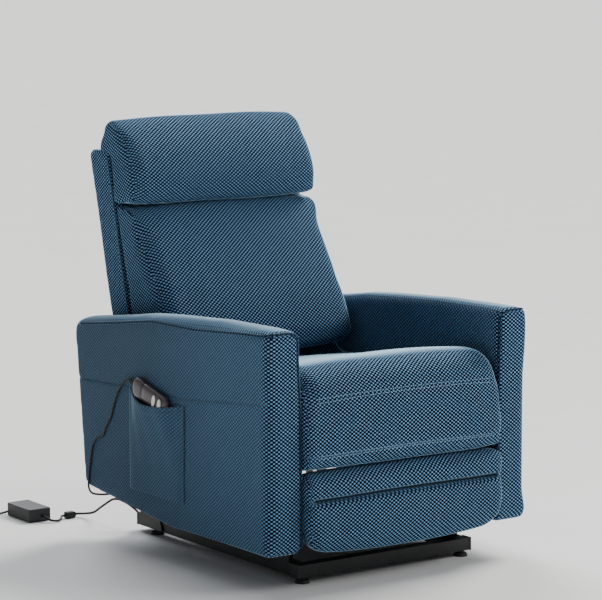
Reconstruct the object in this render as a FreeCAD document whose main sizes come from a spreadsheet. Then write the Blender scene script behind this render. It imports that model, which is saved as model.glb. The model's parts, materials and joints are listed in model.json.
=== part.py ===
import FreeCAD, Part
import math
import os
import Sketcher

from FreeCAD import Placement, Rotation, Vector

# Lift recliner chair with its handset, power supply and leads, in millimetres. +Z is up,
# the chair faces -Y and the origin is on the floor under the middle of the chair. Left and
# right are those of the person sitting in it, so left is +X. Points written as pairs are (y, z).

doc = FreeCAD.newDocument("lift_recliner")
sheet = doc.addObject("Spreadsheet::Sheet", "dims")
rows = []
parts = []


class Dim:
    """A number together with the spreadsheet expression that gives it."""

    def __init__(self, value, text):
        self.v = float(value)
        self.e = text

    @staticmethod
    def of(value):
        return value if isinstance(value, Dim) else Dim(value, repr(float(value)))

    def __add__(self, other):
        other = Dim.of(other)
        return Dim(self.v + other.v, "(%s + %s)" % (self.e, other.e))

    def __sub__(self, other):
        other = Dim.of(other)
        return Dim(self.v - other.v, "(%s - %s)" % (self.e, other.e))

    def __mul__(self, other):
        other = Dim.of(other)
        return Dim(self.v * other.v, "(%s * %s)" % (self.e, other.e))

    def __truediv__(self, other):
        other = Dim.of(other)
        return Dim(self.v / other.v, "(%s / %s)" % (self.e, other.e))

    def __neg__(self):
        return Dim(-self.v, "(0 - %s)" % self.e)


def dim(name, value):
    """Add a driving dimension to the spreadsheet."""
    rows.append(name)
    row = len(rows)
    sheet.set("A%d" % row, name)
    sheet.set("B%d" % row, repr(float(value)))
    sheet.setAlias("B%d" % row, name)
    return Dim(value, "dims." + name)


def point(name, y, z):
    return dim(name + "_y", y), dim(name + "_z", z)


# ---------------------------------------------------------------- driving sizes
seat_half = dim("seat_half_width", 283)
arm_in = dim("arm_inner_face", 292)
arm_out = dim("arm_outer_face", 385)
plate = dim("link_thickness", 4)
skin = dim("cover_thickness", 5)
board = dim("board_thickness", 20)
wall = dim("tube_wall", 2)
clearance = dim("running_clearance", 0.05)

rail_in = dim("rail_inner", 225)
rail_out = dim("rail_outer", 255)
base_front = dim("base_front", -393)
base_rear = dim("base_rear", 320)
bar_side = dim("bar_side", 30)
base_low = dim("base_underside", 15)
base_top = base_low + bar_side
foot_radius = dim("foot_radius", 18)

# inner faces of the layers of flat parts on the left side, from the middle outwards
bracket_x = dim("layer_bracket", 223)
upper_x = dim("layer_upper", 228)
front_x = dim("layer_front", 233)
side_x = dim("layer_side_plate", 240)
lift_x = dim("layer_lift", 247)
lift_bracket_x = dim("layer_lift_bracket", 255)

link_half = dim("link_half_width", 10)
rivet = dim("rivet_radius", 4)
rivet_head = dim("rivet_head_radius", 7)
rivet_hole = rivet + clearance
lift_pin = dim("lift_pin_radius", 6)
lift_pin_head = lift_pin + 4
lift_pin_hole = lift_pin + clearance
tube_radius = dim("cross_tube_radius", 12.5)
tube_bore = tube_radius - wall
motor_hole = dim("motor_pin_hole", 5.05)
bolt_radius = dim("arm_bolt_radius", 4)
bolt_hole = bolt_radius + clearance
body_tube_radius = dim("actuator_tube_radius", 16)
rod_radius = dim("actuator_rod_radius", 9)
rod_bore = rod_radius + clearance
lead_radius = dim("lead_radius", 3)

front_pivot = point("front_pivot", -303.7, 277.8)
rear_pivot = point("rear_pivot", -256.4, 250.1)
mid_pivot = point("mid_pivot", -217.7, 149.8)
low_pivot = point("low_pivot", -192.1, 111.5)
tail_pivot = point("tail_pivot", -168.1, 124.7)
board_up_pivot = point("board_up_pivot", -388, 236)
board_low_pivot = point("board_low_pivot", -381.6, 176.2)
arm_pivot = point("arm_pivot", 240, 105)
seat_pivot = point("seat_pivot", -240, 95)
lift_link_pivot = point("lift_link_pivot", 262.9, 195)
lift_link_end = point("lift_link_end", -220, 140)
lift_motor = point("lift_motor", 305, 62)
lift_tube = point("lift_tube", -140, 152)
front_tube = point("front_tube", -262, 286)
back_hinge = point("back_hinge", 220, 370)
crank_end = point("crank_end", 240, 230)
recline_x = dim("recline_actuator_x", 80)
doc.recompute()


# ---------------------------------------------------------------- document helpers
def new(kind):
    return doc.addObject(kind, "feature")


def drive(obj, prop, value):
    """Let the spreadsheet drive a property, if the value comes from it."""
    if "dims." in value.e:
        obj.setExpression(prop, value.e)


def bind(obj, prop, value):
    value = Dim.of(value)
    setattr(obj, prop, value.v)
    drive(obj, prop, value)


def place(obj, x, y, z, rotation=Rotation()):
    x, y, z = Dim.of(x), Dim.of(y), Dim.of(z)
    obj.Placement = Placement(Vector(x.v, y.v, z.v), rotation)
    for axis, value in (("x", x), ("y", y), ("z", z)):
        drive(obj, "Placement.Base." + axis, value)
    return obj


def part(label, obj):
    obj.Label = label
    parts.append(obj)


def fuse(*objs):
    if len(objs) == 1:
        return objs[0]
    obj = new("Part::MultiFuse")
    obj.Shapes = list(objs)
    return obj


def cut(base, *tools):
    obj = new("Part::Cut")
    obj.Base = base
    obj.Tool = fuse(*tools)
    return obj


def group(*objs):
    obj = new("Part::Compound")
    obj.Links = list(objs)
    return obj


def mirror(source):
    obj = new("Part::Mirroring")
    obj.Source = source
    obj.Normal = Vector(1, 0, 0)
    obj.Base = Vector(0, 0, 0)
    return obj


def with_mirrors(*objs):
    return [each for obj in objs for each in (obj, mirror(obj))]


def pair(*objs):
    return group(*with_mirrors(*objs))


def left_and_right(stem, obj):
    part(stem + "_left", obj)
    part(stem + "_right", mirror(obj))


# ---------------------------------------------------------------- shape helpers
def box(x0, x1, y0, y1, z0, z1):
    obj = new("Part::Box")
    x0, x1, y0, y1, z0, z1 = [Dim.of(edge) for edge in (x0, x1, y0, y1, z0, z1)]
    bind(obj, "Length", x1 - x0)
    bind(obj, "Width", y1 - y0)
    bind(obj, "Height", z1 - z0)
    return place(obj, x0, y0, z0)


def cylinder(radius, height):
    obj = new("Part::Cylinder")
    bind(obj, "Radius", radius)
    bind(obj, "Height", height)
    return obj


def rod_x(x0, x1, at, radius):
    obj = cylinder(radius, Dim.of(x1) - x0)
    return place(obj, x0, at[0], at[1], Rotation(Vector(0, 1, 0), 90))


def rod_z(x, y, z0, z1, radius):
    return place(cylinder(radius, Dim.of(z1) - z0), x, y, z0)


def drilled(solid, x0, x1, holes):
    """Cut (point, radius) holes along X, 1 mm past the faces at x0 and x1."""
    x0, x1 = Dim.of(x0), Dim.of(x1)
    return cut(solid, *[rod_x(x0 - 1, x1 + 1, at, radius) for at, radius in holes])


def profile(points, x0, x1):
    """A closed outline in the Y-Z plane, extruded along +X from x0 to x1."""
    body = doc.addObject("PartDesign::Body", "body")
    sketch = body.newObject("Sketcher::SketchObject", "outline")
    plane = [f for f in body.Origin.OriginFeatures if f.Role == "YZ_Plane"][0]
    sketch.AttachmentSupport = [(plane, "")]
    sketch.MapMode = "FlatFace"
    points = [(Dim.of(y), Dim.of(z)) for y, z in points]
    corners = [Vector(y.v, z.v, 0) for y, z in points]
    count = len(points)
    for i in range(count):
        sketch.addGeometry(Part.LineSegment(corners[i], corners[(i + 1) % count]), False)
    for i in range(count):
        sketch.addConstraint(Sketcher.Constraint("Coincident", i, 2, (i + 1) % count, 1))
    for i, (y, z) in enumerate(points):
        for kind, value in (("DistanceX", y), ("DistanceY", z)):
            index = sketch.addConstraint(Sketcher.Constraint(kind, -1, 1, i, 1, value.v))
            drive(sketch, "Constraints[%d]" % index, value)
    pad = body.newObject("PartDesign::Pad", "pad")
    pad.Profile = sketch
    bind(pad, "Length", Dim.of(x1) - x0)
    return place(body, x0, 0, 0)


def length_of(start, end):
    dy, dz = end[0] - start[0], end[1] - start[1]
    square = dy * dy + dz * dz
    return Dim(math.sqrt(square.v), "sqrt(%s)" % square.e)


def along(start, end, distance, left=0.0):
    """The point a distance along the line from start to end and off to its left.

    Left is as seen with +Y to the right and +Z up.
    """
    length = length_of(start, end)
    cos_y, cos_z = (end[0] - start[0]) / length, (end[1] - start[1]) / length
    return (
        start[0] + cos_y * distance - cos_z * left,
        start[1] + cos_z * distance + cos_y * left,
    )


def slab(start, end, near, far, right, left, x0, x1):
    """A block laid along the line from start to end."""
    corners = ((near, right), (far, right), (far, left), (near, left))
    return profile([along(start, end, *corner) for corner in corners], x0, x1)


def barrel(start, end, near, far, x, radius):
    """A round bar laid along the line from start to end."""
    obj = cylinder(radius, Dim.of(far) - near)
    y, z = along(start, end, near)
    direction = Vector(0, (end[0] - start[0]).v, (end[1] - start[1]).v)
    return place(obj, x, y, z, Rotation(Vector(0, 0, 1), direction))


def bar_link(start, end, x0, x1, half, start_hole, end_hole):
    """A flat bar with round ends and a hole on each pivot, built from the lower pivot up."""
    if end[1].v < start[1].v:
        start, end, start_hole, end_hole = end, start, end_hole, start_hole
    web = slab(start, end, 0, length_of(start, end), -half, half, x0, x1)
    solid = fuse(web, rod_x(x0, x1, start, half), rod_x(x0, x1, end, half))
    return drilled(solid, x0, x1, [(start, start_hole), (end, end_hole)])


def headed_pin(at, x0, x1, radius, head_radius, low_head, high_head):
    """A pin along X; low_head and high_head are the lengths of the heads at x0 and x1."""
    bits = [rod_x(x0, x1, at, radius)]
    if low_head:
        bits.append(rod_x(x0, x0 + low_head, at, head_radius))
    if high_head:
        bits.append(rod_x(x1 - high_head, x1, at, head_radius))
    return fuse(*bits)


def square_tube(x0, x1, y0, y1, z0, z1, along_x):
    outer = box(x0, x1, y0, y1, z0, z1)
    if along_x:
        inner = box(x0 - 1, x1 + 1, y0 + wall, y1 - wall, z0 + wall, z1 - wall)
    else:
        inner = box(x0 + wall, x1 - wall, y0 - 1, y1 + 1, z0 + wall, z1 - wall)
    return cut(outer, inner)


def sweep(edges, start, direction, radius):
    """A round section swept along joined edges."""
    circle = Part.Wire([Part.makeCircle(radius, start, direction)])
    obj = new("Part::Feature")
    obj.Shape = Part.Wire(edges).makePipeShell([circle], True, False)
    return obj


def cable(points, radius):
    """A round cable through (x, y, z) points: straight runs with a bend at each corner."""
    stops = [Vector(*each) for each in points]
    edges = []
    here = stops[0]
    for before, corner, after in zip(stops, stops[1:], stops[2:]):
        reach = 0.46 * min((corner - before).Length, (after - corner).Length)
        go = (corner - before).normalize()
        leave = (after - corner).normalize()
        bend_start, bend_end = corner - go * reach, corner + leave * reach
        half_turn = go.getAngle(leave) / 2
        bend = reach / math.tan(half_turn)
        inward = (leave - go).normalize()
        middle = corner + inward * (bend / math.cos(half_turn) - bend)
        edges.append(Part.LineSegment(here, bend_start).toShape())
        edges.append(Part.Arc(bend_start, middle, bend_end).toShape())
        here = bend_end
    edges.append(Part.LineSegment(here, stops[-1]).toShape())
    return sweep(edges, stops[0], stops[1] - stops[0], radius.v)


def sinuous(first, last, loops, half, radius):
    """A flat zig-zag spring from first to last, its loops lying along X."""
    pitch = (last - first).Length / (loops + 1)
    go = (last - first).normalize()
    side = Vector(1, 0, 0)
    turn = pitch / 2
    root = math.sqrt(0.5)
    # straight start, then a quarter bend out to the side
    bend = first + go * turn
    middle = bend + go * (turn * root) + side * (turn * (1 - root))
    here = bend + go * turn + side * turn
    edges = [
        Part.LineSegment(first, bend).toShape(),
        Part.Arc(bend, middle, here).toShape(),
    ]
    # straight runs joined by half bends on alternate sides
    sign = 1
    for k in range(loops - 1):
        far = first + go * (pitch * (k + 1)) + side * (sign * half)
        top = far + go * turn + side * (sign * turn)
        edges.append(Part.LineSegment(here, far).toShape())
        here = far + go * pitch
        edges.append(Part.Arc(far, top, here).toShape())
        sign = -sign
    # quarter bend back to the middle, then a straight end
    level = first + go * (pitch * loops)
    bend = level - side * (sign * turn)
    middle = level + (go - side * sign) * (turn * (1 - root))
    centre = level + go * turn
    edges.append(Part.LineSegment(here, bend).toShape())
    edges.append(Part.Arc(bend, middle, centre).toShape())
    edges.append(Part.LineSegment(centre, last).toShape())
    return sweep(edges, first, go, radius)


# ---------------------------------------------------------------- floor base
left_and_right(
    "base_rail",
    square_tube(rail_in, rail_out, base_front + bar_side, base_rear, base_low, base_top, False),
)
part(
    "base_front_bar",
    square_tube(
        -rail_out, rail_out, base_front, base_front + bar_side, base_low, base_top, True
    ),
)

# rear bar, with two tabs that hold the lift motor
motor_tab_outline = [
    (lift_motor[0] - 15, base_top), (lift_motor[0] + 15, base_top),
    (lift_motor[0] + 12, lift_motor[1] + 12), (lift_motor[0] - 12, lift_motor[1] + 12),
]
motor_tabs = [profile(motor_tab_outline, x, x + 4) for x in (-20, 16)]
rear_tube = square_tube(
    -rail_in, rail_in, base_rear - bar_side, base_rear, base_low, base_top, True
)
part(
    "base_rear_bar",
    cut(fuse(rear_tube, *motor_tabs), rod_x(-30, 30, lift_motor, motor_hole)),
)

# end caps: a plate that laps over the tube end, and a plug inside it
cap_plate, cap_lap = 4, 1
plug_depth, plug_inset = 12, 2.3
cap_front = fuse(
    box(
        rail_out, rail_out + cap_plate,
        base_front - cap_lap, base_front + bar_side + cap_lap,
        base_low - cap_lap, base_top + cap_lap,
    ),
    box(
        rail_out - plug_depth, rail_out,
        base_front + plug_inset, base_front + bar_side - plug_inset,
        base_low + plug_inset, base_top - plug_inset,
    ),
)
cap_rear = fuse(
    box(
        rail_in - cap_lap, rail_out + cap_lap,
        base_rear, base_rear + cap_plate,
        base_low - cap_lap, base_top + cap_lap,
    ),
    box(
        rail_in + plug_inset, rail_out - plug_inset,
        base_rear - plug_depth, base_rear,
        base_low + plug_inset, base_top - plug_inset,
    ),
)
part("base_end_caps", pair(cap_front, cap_rear))


def foot(x, y, pad_height=8, stem_radius=9):
    """A tapered pad on the floor with a stem up to the base."""
    pad = new("Part::Cone")
    bind(pad, "Radius1", foot_radius)
    bind(pad, "Radius2", foot_radius - 3)
    bind(pad, "Height", pad_height)
    place(pad, x, y, 0)
    return fuse(pad, rod_z(x, y, pad_height, base_low, stem_radius))


foot_places = ((-238, -378), (238, -378), (-240, 250), (240, 250))  # (x, y)
part("base_feet", group(*[foot(x, y) for x, y in foot_places]))

post = box(241, 254, -345, -285, base_top, 105)
post_hollow = box(244, 251, -346, -290, base_top + 4, 106)
part("base_front_posts", pair(cut(post, post_hollow)))

lift_bracket_outline = [
    (200, 18), (302, 18), (300, 60), (284, 198), (277, 210),
    (263, 215), (249, 210), (232, 150), (221, 120), (214, 60),
]
lift_bracket_far = lift_bracket_x + 5
left_and_right(
    "lift_bracket",
    drilled(
        profile(lift_bracket_outline, lift_bracket_x, lift_bracket_far),
        lift_bracket_x,
        lift_bracket_far,
        [(arm_pivot, lift_pin_hole), (lift_link_pivot, lift_pin_hole)],
    ),
)
lift_pins = [
    headed_pin(at, lift_x - 3, lift_bracket_x + 8, lift_pin, lift_pin_head, 2.9, 2.95)
    for at in (arm_pivot, lift_link_pivot)
]
motor_pin = headed_pin(lift_motor, -24, 24, 5, 8, 3.9, 3.9)
part("lift_pivot_pins", group(*with_mirrors(*lift_pins), motor_pin))

# ---------------------------------------------------------------- power supply
# It lies on the floor behind the chair, on the right.
brick = box(-444, -380, 546, 663, 0, 35)
doc.recompute()  # the fillet needs the brick's edges
adapter = new("Part::Fillet")
adapter.Base = brick
adapter.Edges = [(i + 1, 4.0, 4.0) for i in range(12)]
part("power_adapter", adapter)

# Cable paths, (x, y, z)
adapter_lead_path = [
    (-404, 545.6, 14), (-404, 534, 14), (-396, 518, 6), (-376, 512, 4),
    (-360, 528, 5), (-352, 539, 9), (-340.4, 539, 9),
]
connector_lead_path = [
    (-312, 539, 9), (-302, 539, 9), (-294, 526, 10), (-290, 480, 20),
    (-300, 420, 50), (-290, 372, 80), (-262, 345, 62), (-240, 328, 34),
]
mains_lead_path = [
    (-415, 663.4, 16), (-415, 673, 16), (-434, 678, 6), (-470, 670, 4.5),
    (-510, 640, 4), (-528, 622, 11), (-540, 622, 11),
]
part("adapter_lead", cable(adapter_lead_path, lead_radius))
connector = fuse(box(-340, -316, 531, 547, 1, 17), box(-316, -312, 533, 545, 3, 15))
part("lead_connector", group(connector, cable(connector_lead_path, lead_radius)))
mains_plug = fuse(
    box(-562, -540, 612, 632, 0, 22),
    box(-580, -562, 617, 621, 8, 14),
    box(-580, -562, 624, 628, 8, 14),
)
part("mains_lead", group(cable(mains_lead_path, lead_radius), mains_plug))

# ---------------------------------------------------------------- lift arms
arm_half = dim("lift_arm_half_width", 14)
link_end_hole = 8
lift_far = lift_x + 6
left_and_right(
    "lift_arm",
    bar_link(arm_pivot, seat_pivot, lift_x, lift_far, arm_half, lift_pin_hole, lift_pin_hole),
)
arm_tube_at = (-140, 97)
part(
    "lift_arm_cross_tube",
    drilled(rod_x(-lift_x, lift_x, arm_tube_at, 11), -lift_x, lift_x, [(arm_tube_at, 9)]),
)
part(
    "lift_links",
    pair(
        bar_link(
            lift_link_pivot, lift_link_end, lift_x, lift_far, 13, lift_pin_hole, link_end_hole
        )
    ),
)

# ---------------------------------------------------------------- lift actuator
# It lies along the line from the motor pin up to the lift cross tube.
lift_line = (lift_motor, lift_tube)
lift_length = length_of(*lift_line)
motor_eye = drilled(
    fuse(rod_x(-14, 14, lift_motor, 11), slab(*lift_line, 0, 32, -10, 10, -12, 12)),
    -14,
    14,
    [(lift_motor, motor_hole)],
)
part(
    "lift_motor",
    fuse(
        motor_eye,
        slab(*lift_line, 30, 78, -24, 26, -26, 72),
        barrel(*lift_line, 78, 190, 48, 21),
    ),
)
part(
    "lift_actuator_tube",
    cut(
        barrel(*lift_line, 78, lift_length - 95, 0, body_tube_radius),
        barrel(*lift_line, 90, lift_length - 90, 0, rod_bore),
    ),
)
part(
    "lift_rod",
    drilled(
        fuse(
            barrel(*lift_line, lift_length - 330, lift_length - 60, 0, rod_radius),
            slab(*lift_line, lift_length - 66, lift_length - 27, -11, 11, -7, 7),
        ),
        -7,
        7,
        [(along(*lift_line, lift_length - 38), 4)],
    ),
)

# ---------------------------------------------------------------- chair mechanism
side_plate_outline = [
    (-330, 300), (-330, 262), (-285, 238), (-262, 150), (-256, 90), (-250, 82),
    (-230, 82), (-222, 90), (-200, 126), (-126, 136), (-118, 170), (-96, 196),
    (180, 190), (204, 210), (209, 280), (238, 352), (238, 378), (228, 388),
    (208, 388), (200, 378), (186, 330), (165, 300),
]
side_plate_holes = [
    (front_pivot, rivet_hole),
    (rear_pivot, rivet_hole),
    (seat_pivot, lift_pin_hole),
    (lift_link_end, rivet_hole),
    (back_hinge, lift_pin_hole),
] + [((y, 245), 22) for y in (-60, 20, 100)]
seat_flange = box(side_x, 278, -330, 160, 297, 300)
left_and_right(
    "side_plate",
    drilled(
        fuse(profile(side_plate_outline, side_x, side_x + plate), seat_flange),
        side_x,
        side_x + plate,
        side_plate_holes,
    ),
)
part(
    "front_cross_tube",
    drilled(
        rod_x(-side_x, side_x, front_tube, tube_radius),
        -side_x,
        side_x,
        [(front_tube, tube_bore)],
    ),
)
rod_cheeks = [slab(lift_tube, lift_motor, 11, 44, -13, 13, x, x + 4) for x in (-15, 11)]
part(
    "lift_cross_tube",
    drilled(
        fuse(rod_x(-side_x, side_x, lift_tube, tube_radius), *rod_cheeks),
        -side_x,
        side_x,
        [(lift_tube, tube_bore)],
    ),
)
part(
    "chair_pivot_pins",
    pair(
        headed_pin(seat_pivot, side_x, lift_x + 9, lift_pin, lift_pin_head, 0, 2.9),
        headed_pin(lift_link_end, side_x, lift_x + 9, rivet, rivet + 8, 0, 2.9),
        *[
            headed_pin(at, front_x - 1.5, side_x + 5.5, rivet, rivet_head, 1.45, 1.45)
            for at in (front_pivot, rear_pivot)
        ]
    ),
)

# ---------------------------------------------------------------- seat
frame_front = dim("seat_frame_front", -418)
frame_rear = dim("seat_frame_rear", 160)
frame_low = dim("seat_frame_low", 300)
frame_top = dim("seat_frame_top", 370)
bolt_places = [(-300, 335), (60, 335)]
seat_boards = [
    box(x0, x1, y0, y1, frame_low, frame_top)
    for x0, x1, y0, y1 in (
        (-seat_half, seat_half, frame_front, frame_front + board),
        (-seat_half, seat_half, frame_rear - board, frame_rear),
        (-seat_half, -seat_half + board, frame_front, frame_rear),
        (seat_half - board, seat_half, frame_front, frame_rear),
    )
]
seat_bolt_holes = [
    rod_x(x0, x1, at, bolt_hole) for at in bolt_places for x0, x1 in ((-300, -250), (250, 300))
]
part("seat_frame", cut(fuse(*seat_boards), *seat_bolt_holes))
part(
    "seat_springs",
    group(
        *[
            sinuous(Vector(x, -394, 360), Vector(x, 136, 360), loops=18, half=20, radius=1.8)
            for x in (-200, -120, -40, 40, 120, 200)
        ]
    ),
)
seat_cushion_outline = [
    (-422, 372), (-422, 292), (-448, 290), (-466, 300), (-476, 322), (-479, 390),
    (-472, 450), (-456, 495), (-430, 516), (-390, 522), (-300, 514), (-150, 482),
    (40, 452), (128, 440), (140, 428), (140, frame_top + 2),
]
part("seat_cushion", profile(seat_cushion_outline, -seat_half, seat_half))

# ---------------------------------------------------------------- arms
arm_cover_outline = [
    (-438, 88), (-452, 104), (-452, 598), (-440, 611), (-397, 614), (-200, 611),
    (110, 589), (380, 552), (393, 538), (364, 135), (345, 125), (-20, 88),
]
# The hollow runs out below the cover, which leaves it open underneath.
arm_hollow_outline = [
    (-434, 60), (-447, 104), (-447, 594), (-437, 606), (-397, 609), (-200, 606),
    (110, 584), (378, 547), (388, 536), (359, 139), (345, 100), (-20, 60),
]
arm_bolt_holes = [(at, bolt_hole) for at in bolt_places]
arm_shell = cut(
    profile(arm_cover_outline, arm_in, arm_out),
    profile(arm_hollow_outline, arm_in + skin, arm_out - skin),
    *[rod_x(arm_in - 1, arm_in + skin + 1, at, radius) for at, radius in arm_bolt_holes]
)
left_and_right("arm_cover", arm_shell)

frame_gap = 3
frame_in, frame_out = arm_in + skin + frame_gap, arm_out - skin - frame_gap
board_in = frame_in + board  # outer face of the boards on the inner side
left_and_right(
    "arm_frame",
    drilled(
        fuse(
            box(frame_in, frame_out, -440, -420, 110, 585),  # front upright
            box(frame_in, frame_out, 333, 353, 145, 535),  # rear upright
            box(frame_in, frame_out, -420, 333, 515, 535),  # top board
            box(frame_in, board_in, -420, 333, 300, 370),  # board the seat bolts to
            box(frame_in, board_in, -420, 333, 145, 205),  # inner low board
            box(frame_out - board, frame_out, -420, 333, 145, 205),  # outer low board
        ),
        frame_in,
        board_in,
        arm_bolt_holes,
    ),
)


def arm_bolt(at, head_radius=8, start=257):
    return fuse(
        rod_x(start, board_in + 8, at, bolt_radius),
        rod_x(start, seat_half - board, at, head_radius),
        rod_x(board_in, board_in + 6, at, head_radius),
    )


part("arm_bolts", pair(*[arm_bolt(at) for at in bolt_places]))

# open-topped pocket on the outer face of the right arm
pocket_depth = dim("pocket_depth", 27)
pocket_face = -arm_out - pocket_depth
part(
    "handset_pocket",
    cut(
        box(pocket_face, -arm_out, -102, 142, 155, 371),
        box(pocket_face + 3, -arm_out + 1, -98, 138, 159, 390),
    ),
)
part("rear_panel", box(-280, 280, 318, 332, 130, 300))
part(
    "control_box",
    fuse(box(-160, -60, 50, 125, 262, 300), box(-150, -70, 125, 131, 270, 292)),
)

# ---------------------------------------------------------------- back
back_low = point("back_front_low", 280, 450)
back_top = point("back_front_top", 405, 975)


def back_at(z, behind=0.0):
    """The point at height z, some way behind the back's sloping front plane."""
    slope = (back_top[0] - back_low[0]) / (back_top[1] - back_low[1])
    z = Dim.of(z)
    return back_low[0] + slope * (z - back_low[1]) + behind, z


back_shell_outline = [
    (252, 332), back_at(450), back_at(965), (466, 965), (475, 955), (372, 550), (315, 332),
]
# The hollow runs out in front and below, which leaves the shell open there.
back_hollow_outline = [
    (230, 300), back_at(450, -20), back_at(961, -20), (463, 961),
    (470, 953), (368, 551), (306, 300),
]
part(
    "back_shell",
    cut(profile(back_shell_outline, -286, 286), profile(back_hollow_outline, -282, 282)),
)

upright_outline = [
    (262, 345), back_at(450, 2), back_at(945, 2), (447, 945), (345, 500), (304, 350),
]
upright = profile(upright_outline, 250, 272)
# cross rails: bottom, top, half width
back_rails = [
    profile([back_at(z0, 2), back_at(z1, 2), back_at(z1, 24), back_at(z0, 24)], -half, half)
    for z0, z1, half in ((400, 440, 246), (640, 680, 250), (905, 945, 250))
]
part("back_frame", fuse(upright, mirror(upright), *back_rails))


def back_spring(x, z0, z1):
    first, last = [Vector(x, back_at(z, 13)[0].v, z) for z in (z0, z1)]
    return sinuous(first, last, loops=5, half=22, radius=1.6)


part(
    "back_springs",
    group(
        *[
            back_spring(x, z0, z1)
            for x in (-180, -90, 0, 90, 180)
            for z0, z1 in ((444, 636), (684, 901))
        ]
    ),
)
back_cushion_outline = [
    back_at(458), (125, 458), (100, 474), (98, 500), (122, 550), (150, 600),
    (212, 700), (262, 780), (292, 812), (318, 826), back_at(830),
]
part("back_cushion", profile(back_cushion_outline, -283, 283))
headrest_outline = [
    back_at(834), (320, 832), (292, 838), (274, 860), (270, 900), (288, 950),
    (330, 1006), (372, 1040), (412, 1050), (448, 1036), (468, 1008), (472, 980),
    (462, 967), (402, 967),
]
part("headrest_pillow", profile(headrest_outline, -284, 284))

back_bracket_outline = [
    (204, 362), (212, 354), (226, 350), (262, 355), (322, 440), (340, 520),
    (304, 520), (286, 452), (262, 398), (232, 388), (210, 386), (204, 378),
]
left_and_right(
    "back_bracket",
    drilled(profile(back_bracket_outline, 246, 250), 246, 250, [(back_hinge, lift_pin_hole)]),
)
hinge_pin = headed_pin(back_hinge, side_x - 2.5, 252.6, lift_pin, lift_pin_head, 2.4, 2.4)
part("back_hinge_pins", pair(hinge_pin))

# two crank plates hanging from the lowest cross rail
crank_hole = 4
crank_outline = [
    (256, 398), back_at(400, 2), back_at(440, 2), (271, 444),
    (225, 232), (230, 220), (244, 218), (255, 226),
]
part(
    "recline_crank",
    group(
        *[
            cut(
                profile(crank_outline, x, x + 4),
                rod_x(recline_x - 20, recline_x + 20, crank_end, crank_hole),
            )
            for x in (recline_x - 16, recline_x + 12)
        ]
    ),
)

# ---------------------------------------------------------------- recline actuator
# It lies along the line from the front cross tube back to the crank.
recline_line = (front_tube, crank_end)
recline_length = length_of(*recline_line)
part(
    "recline_motor",
    drilled(
        fuse(
            rod_x(recline_x - 14, recline_x + 14, front_tube, 19),
            slab(*recline_line, 12, 40, -12, 12, recline_x - 12, recline_x + 12),
            slab(*recline_line, 38, 84, -22, 22, recline_x - 24, recline_x + 66),
            barrel(*recline_line, 84, 190, recline_x + 44, 20),
        ),
        recline_x - 14,
        recline_x + 14,
        [(front_tube, tube_radius + clearance)],
    ),
)
part(
    "recline_actuator_tube",
    cut(
        barrel(*recline_line, 84, recline_length - 140, recline_x, body_tube_radius),
        barrel(*recline_line, 96, recline_length - 135, recline_x, rod_bore),
    ),
)
rod_block = slab(
    *recline_line, recline_length - 30, recline_length + 10, -10, 10, recline_x - 9, recline_x + 9
)
part(
    "recline_rod",
    cut(
        fuse(
            barrel(
                *recline_line, recline_length - 270, recline_length - 26, recline_x, rod_radius
            ),
            rod_block,
        ),
        rod_x(recline_x - 12, recline_x + 12, crank_end, crank_hole),
    ),
)


# ---------------------------------------------------------------- footrest
def footrest_link(start, end, x):
    return bar_link(start, end, x, x + plate, link_half, rivet_hole, rivet_hole)


def link_with_mid_hole(start, end, x):
    return drilled(footrest_link(start, end, x), x, x + plate, [(mid_pivot, rivet_hole)])


link_studs = [
    headed_pin(at, upper_x - 1.5, front_x + plate + 1.5, rivet, rivet_head, 1.45, 1.45)
    for at in (mid_pivot, low_pivot)
]
part(
    "footrest_front_links",
    pair(link_with_mid_hole(front_pivot, low_pivot, front_x), *link_studs),
)
part("footrest_rear_links", pair(footrest_link(rear_pivot, tail_pivot, front_x)))
part("footrest_upper_links", pair(link_with_mid_hole(board_up_pivot, tail_pivot, upper_x)))
part("footrest_lower_links", pair(footrest_link(low_pivot, board_low_pivot, upper_x)))

foot_bracket_outline = [
    (-406, 256), (-384, 249), (-375, 240), (-369, 178), (-374, 166), (-406, 130),
]
foot_bracket = drilled(
    profile(foot_bracket_outline, bracket_x, bracket_x + plate),
    bracket_x,
    bracket_x + plate,
    [(board_up_pivot, rivet_hole), (board_low_pivot, rivet_hole)],
)
foot_flange = box(bracket_x - 25, bracket_x, -406, -403, 130, 256)
board_stud = headed_pin(
    board_up_pivot, bracket_x - 1.5, upper_x + plate + 0.9, rivet, rivet_head, 1.45, 0.85
)
part("footrest_brackets", pair(fuse(foot_bracket, foot_flange), board_stud))

# board with its two lower corners rounded, by the edges that run along Y
foot_board_front, foot_board_rear = -421, -406
corner_radius = 62.0
board_blank = box(-258, 258, foot_board_front, foot_board_rear, 92, 264)
doc.recompute()  # the edges are picked from the finished shape
board_round = new("Part::Fillet")
board_round.Base = board_blank
board_round.Edges = [
    (i + 1, corner_radius, corner_radius)
    for i, edge in enumerate(board_blank.Shape.Edges)
    if abs(edge.BoundBox.YLength - (foot_board_rear - foot_board_front)) < 0.1
    and edge.BoundBox.ZLength < 0.1
    and edge.BoundBox.ZMax < 100
]
part("footrest_board", board_round)
foot_pad_outline = [
    (-421, 78), (-421, 277), (-450, 278), (-466, 270), (-475, 250),
    (-476, 110), (-470, 86), (-455, 75), (-436, 73),
]
part("footrest_pad", profile(foot_pad_outline, -276, 276))

# ---------------------------------------------------------------- handset
handset_in = dim("handset_inner_face", -388)
handset_out = dim("handset_outer_face", -408)
button_width = dim("button_width", 14)
button_half = dim("button_length", 26) / 2
button_travel = dim("button_travel", 1.5)
well_gap = 0.2
# the handset's long axis, from its rear end forwards
handset_line = ((Dim.of(84), Dim.of(416)), (Dim.of(-13), Dim.of(391.8)))
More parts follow.
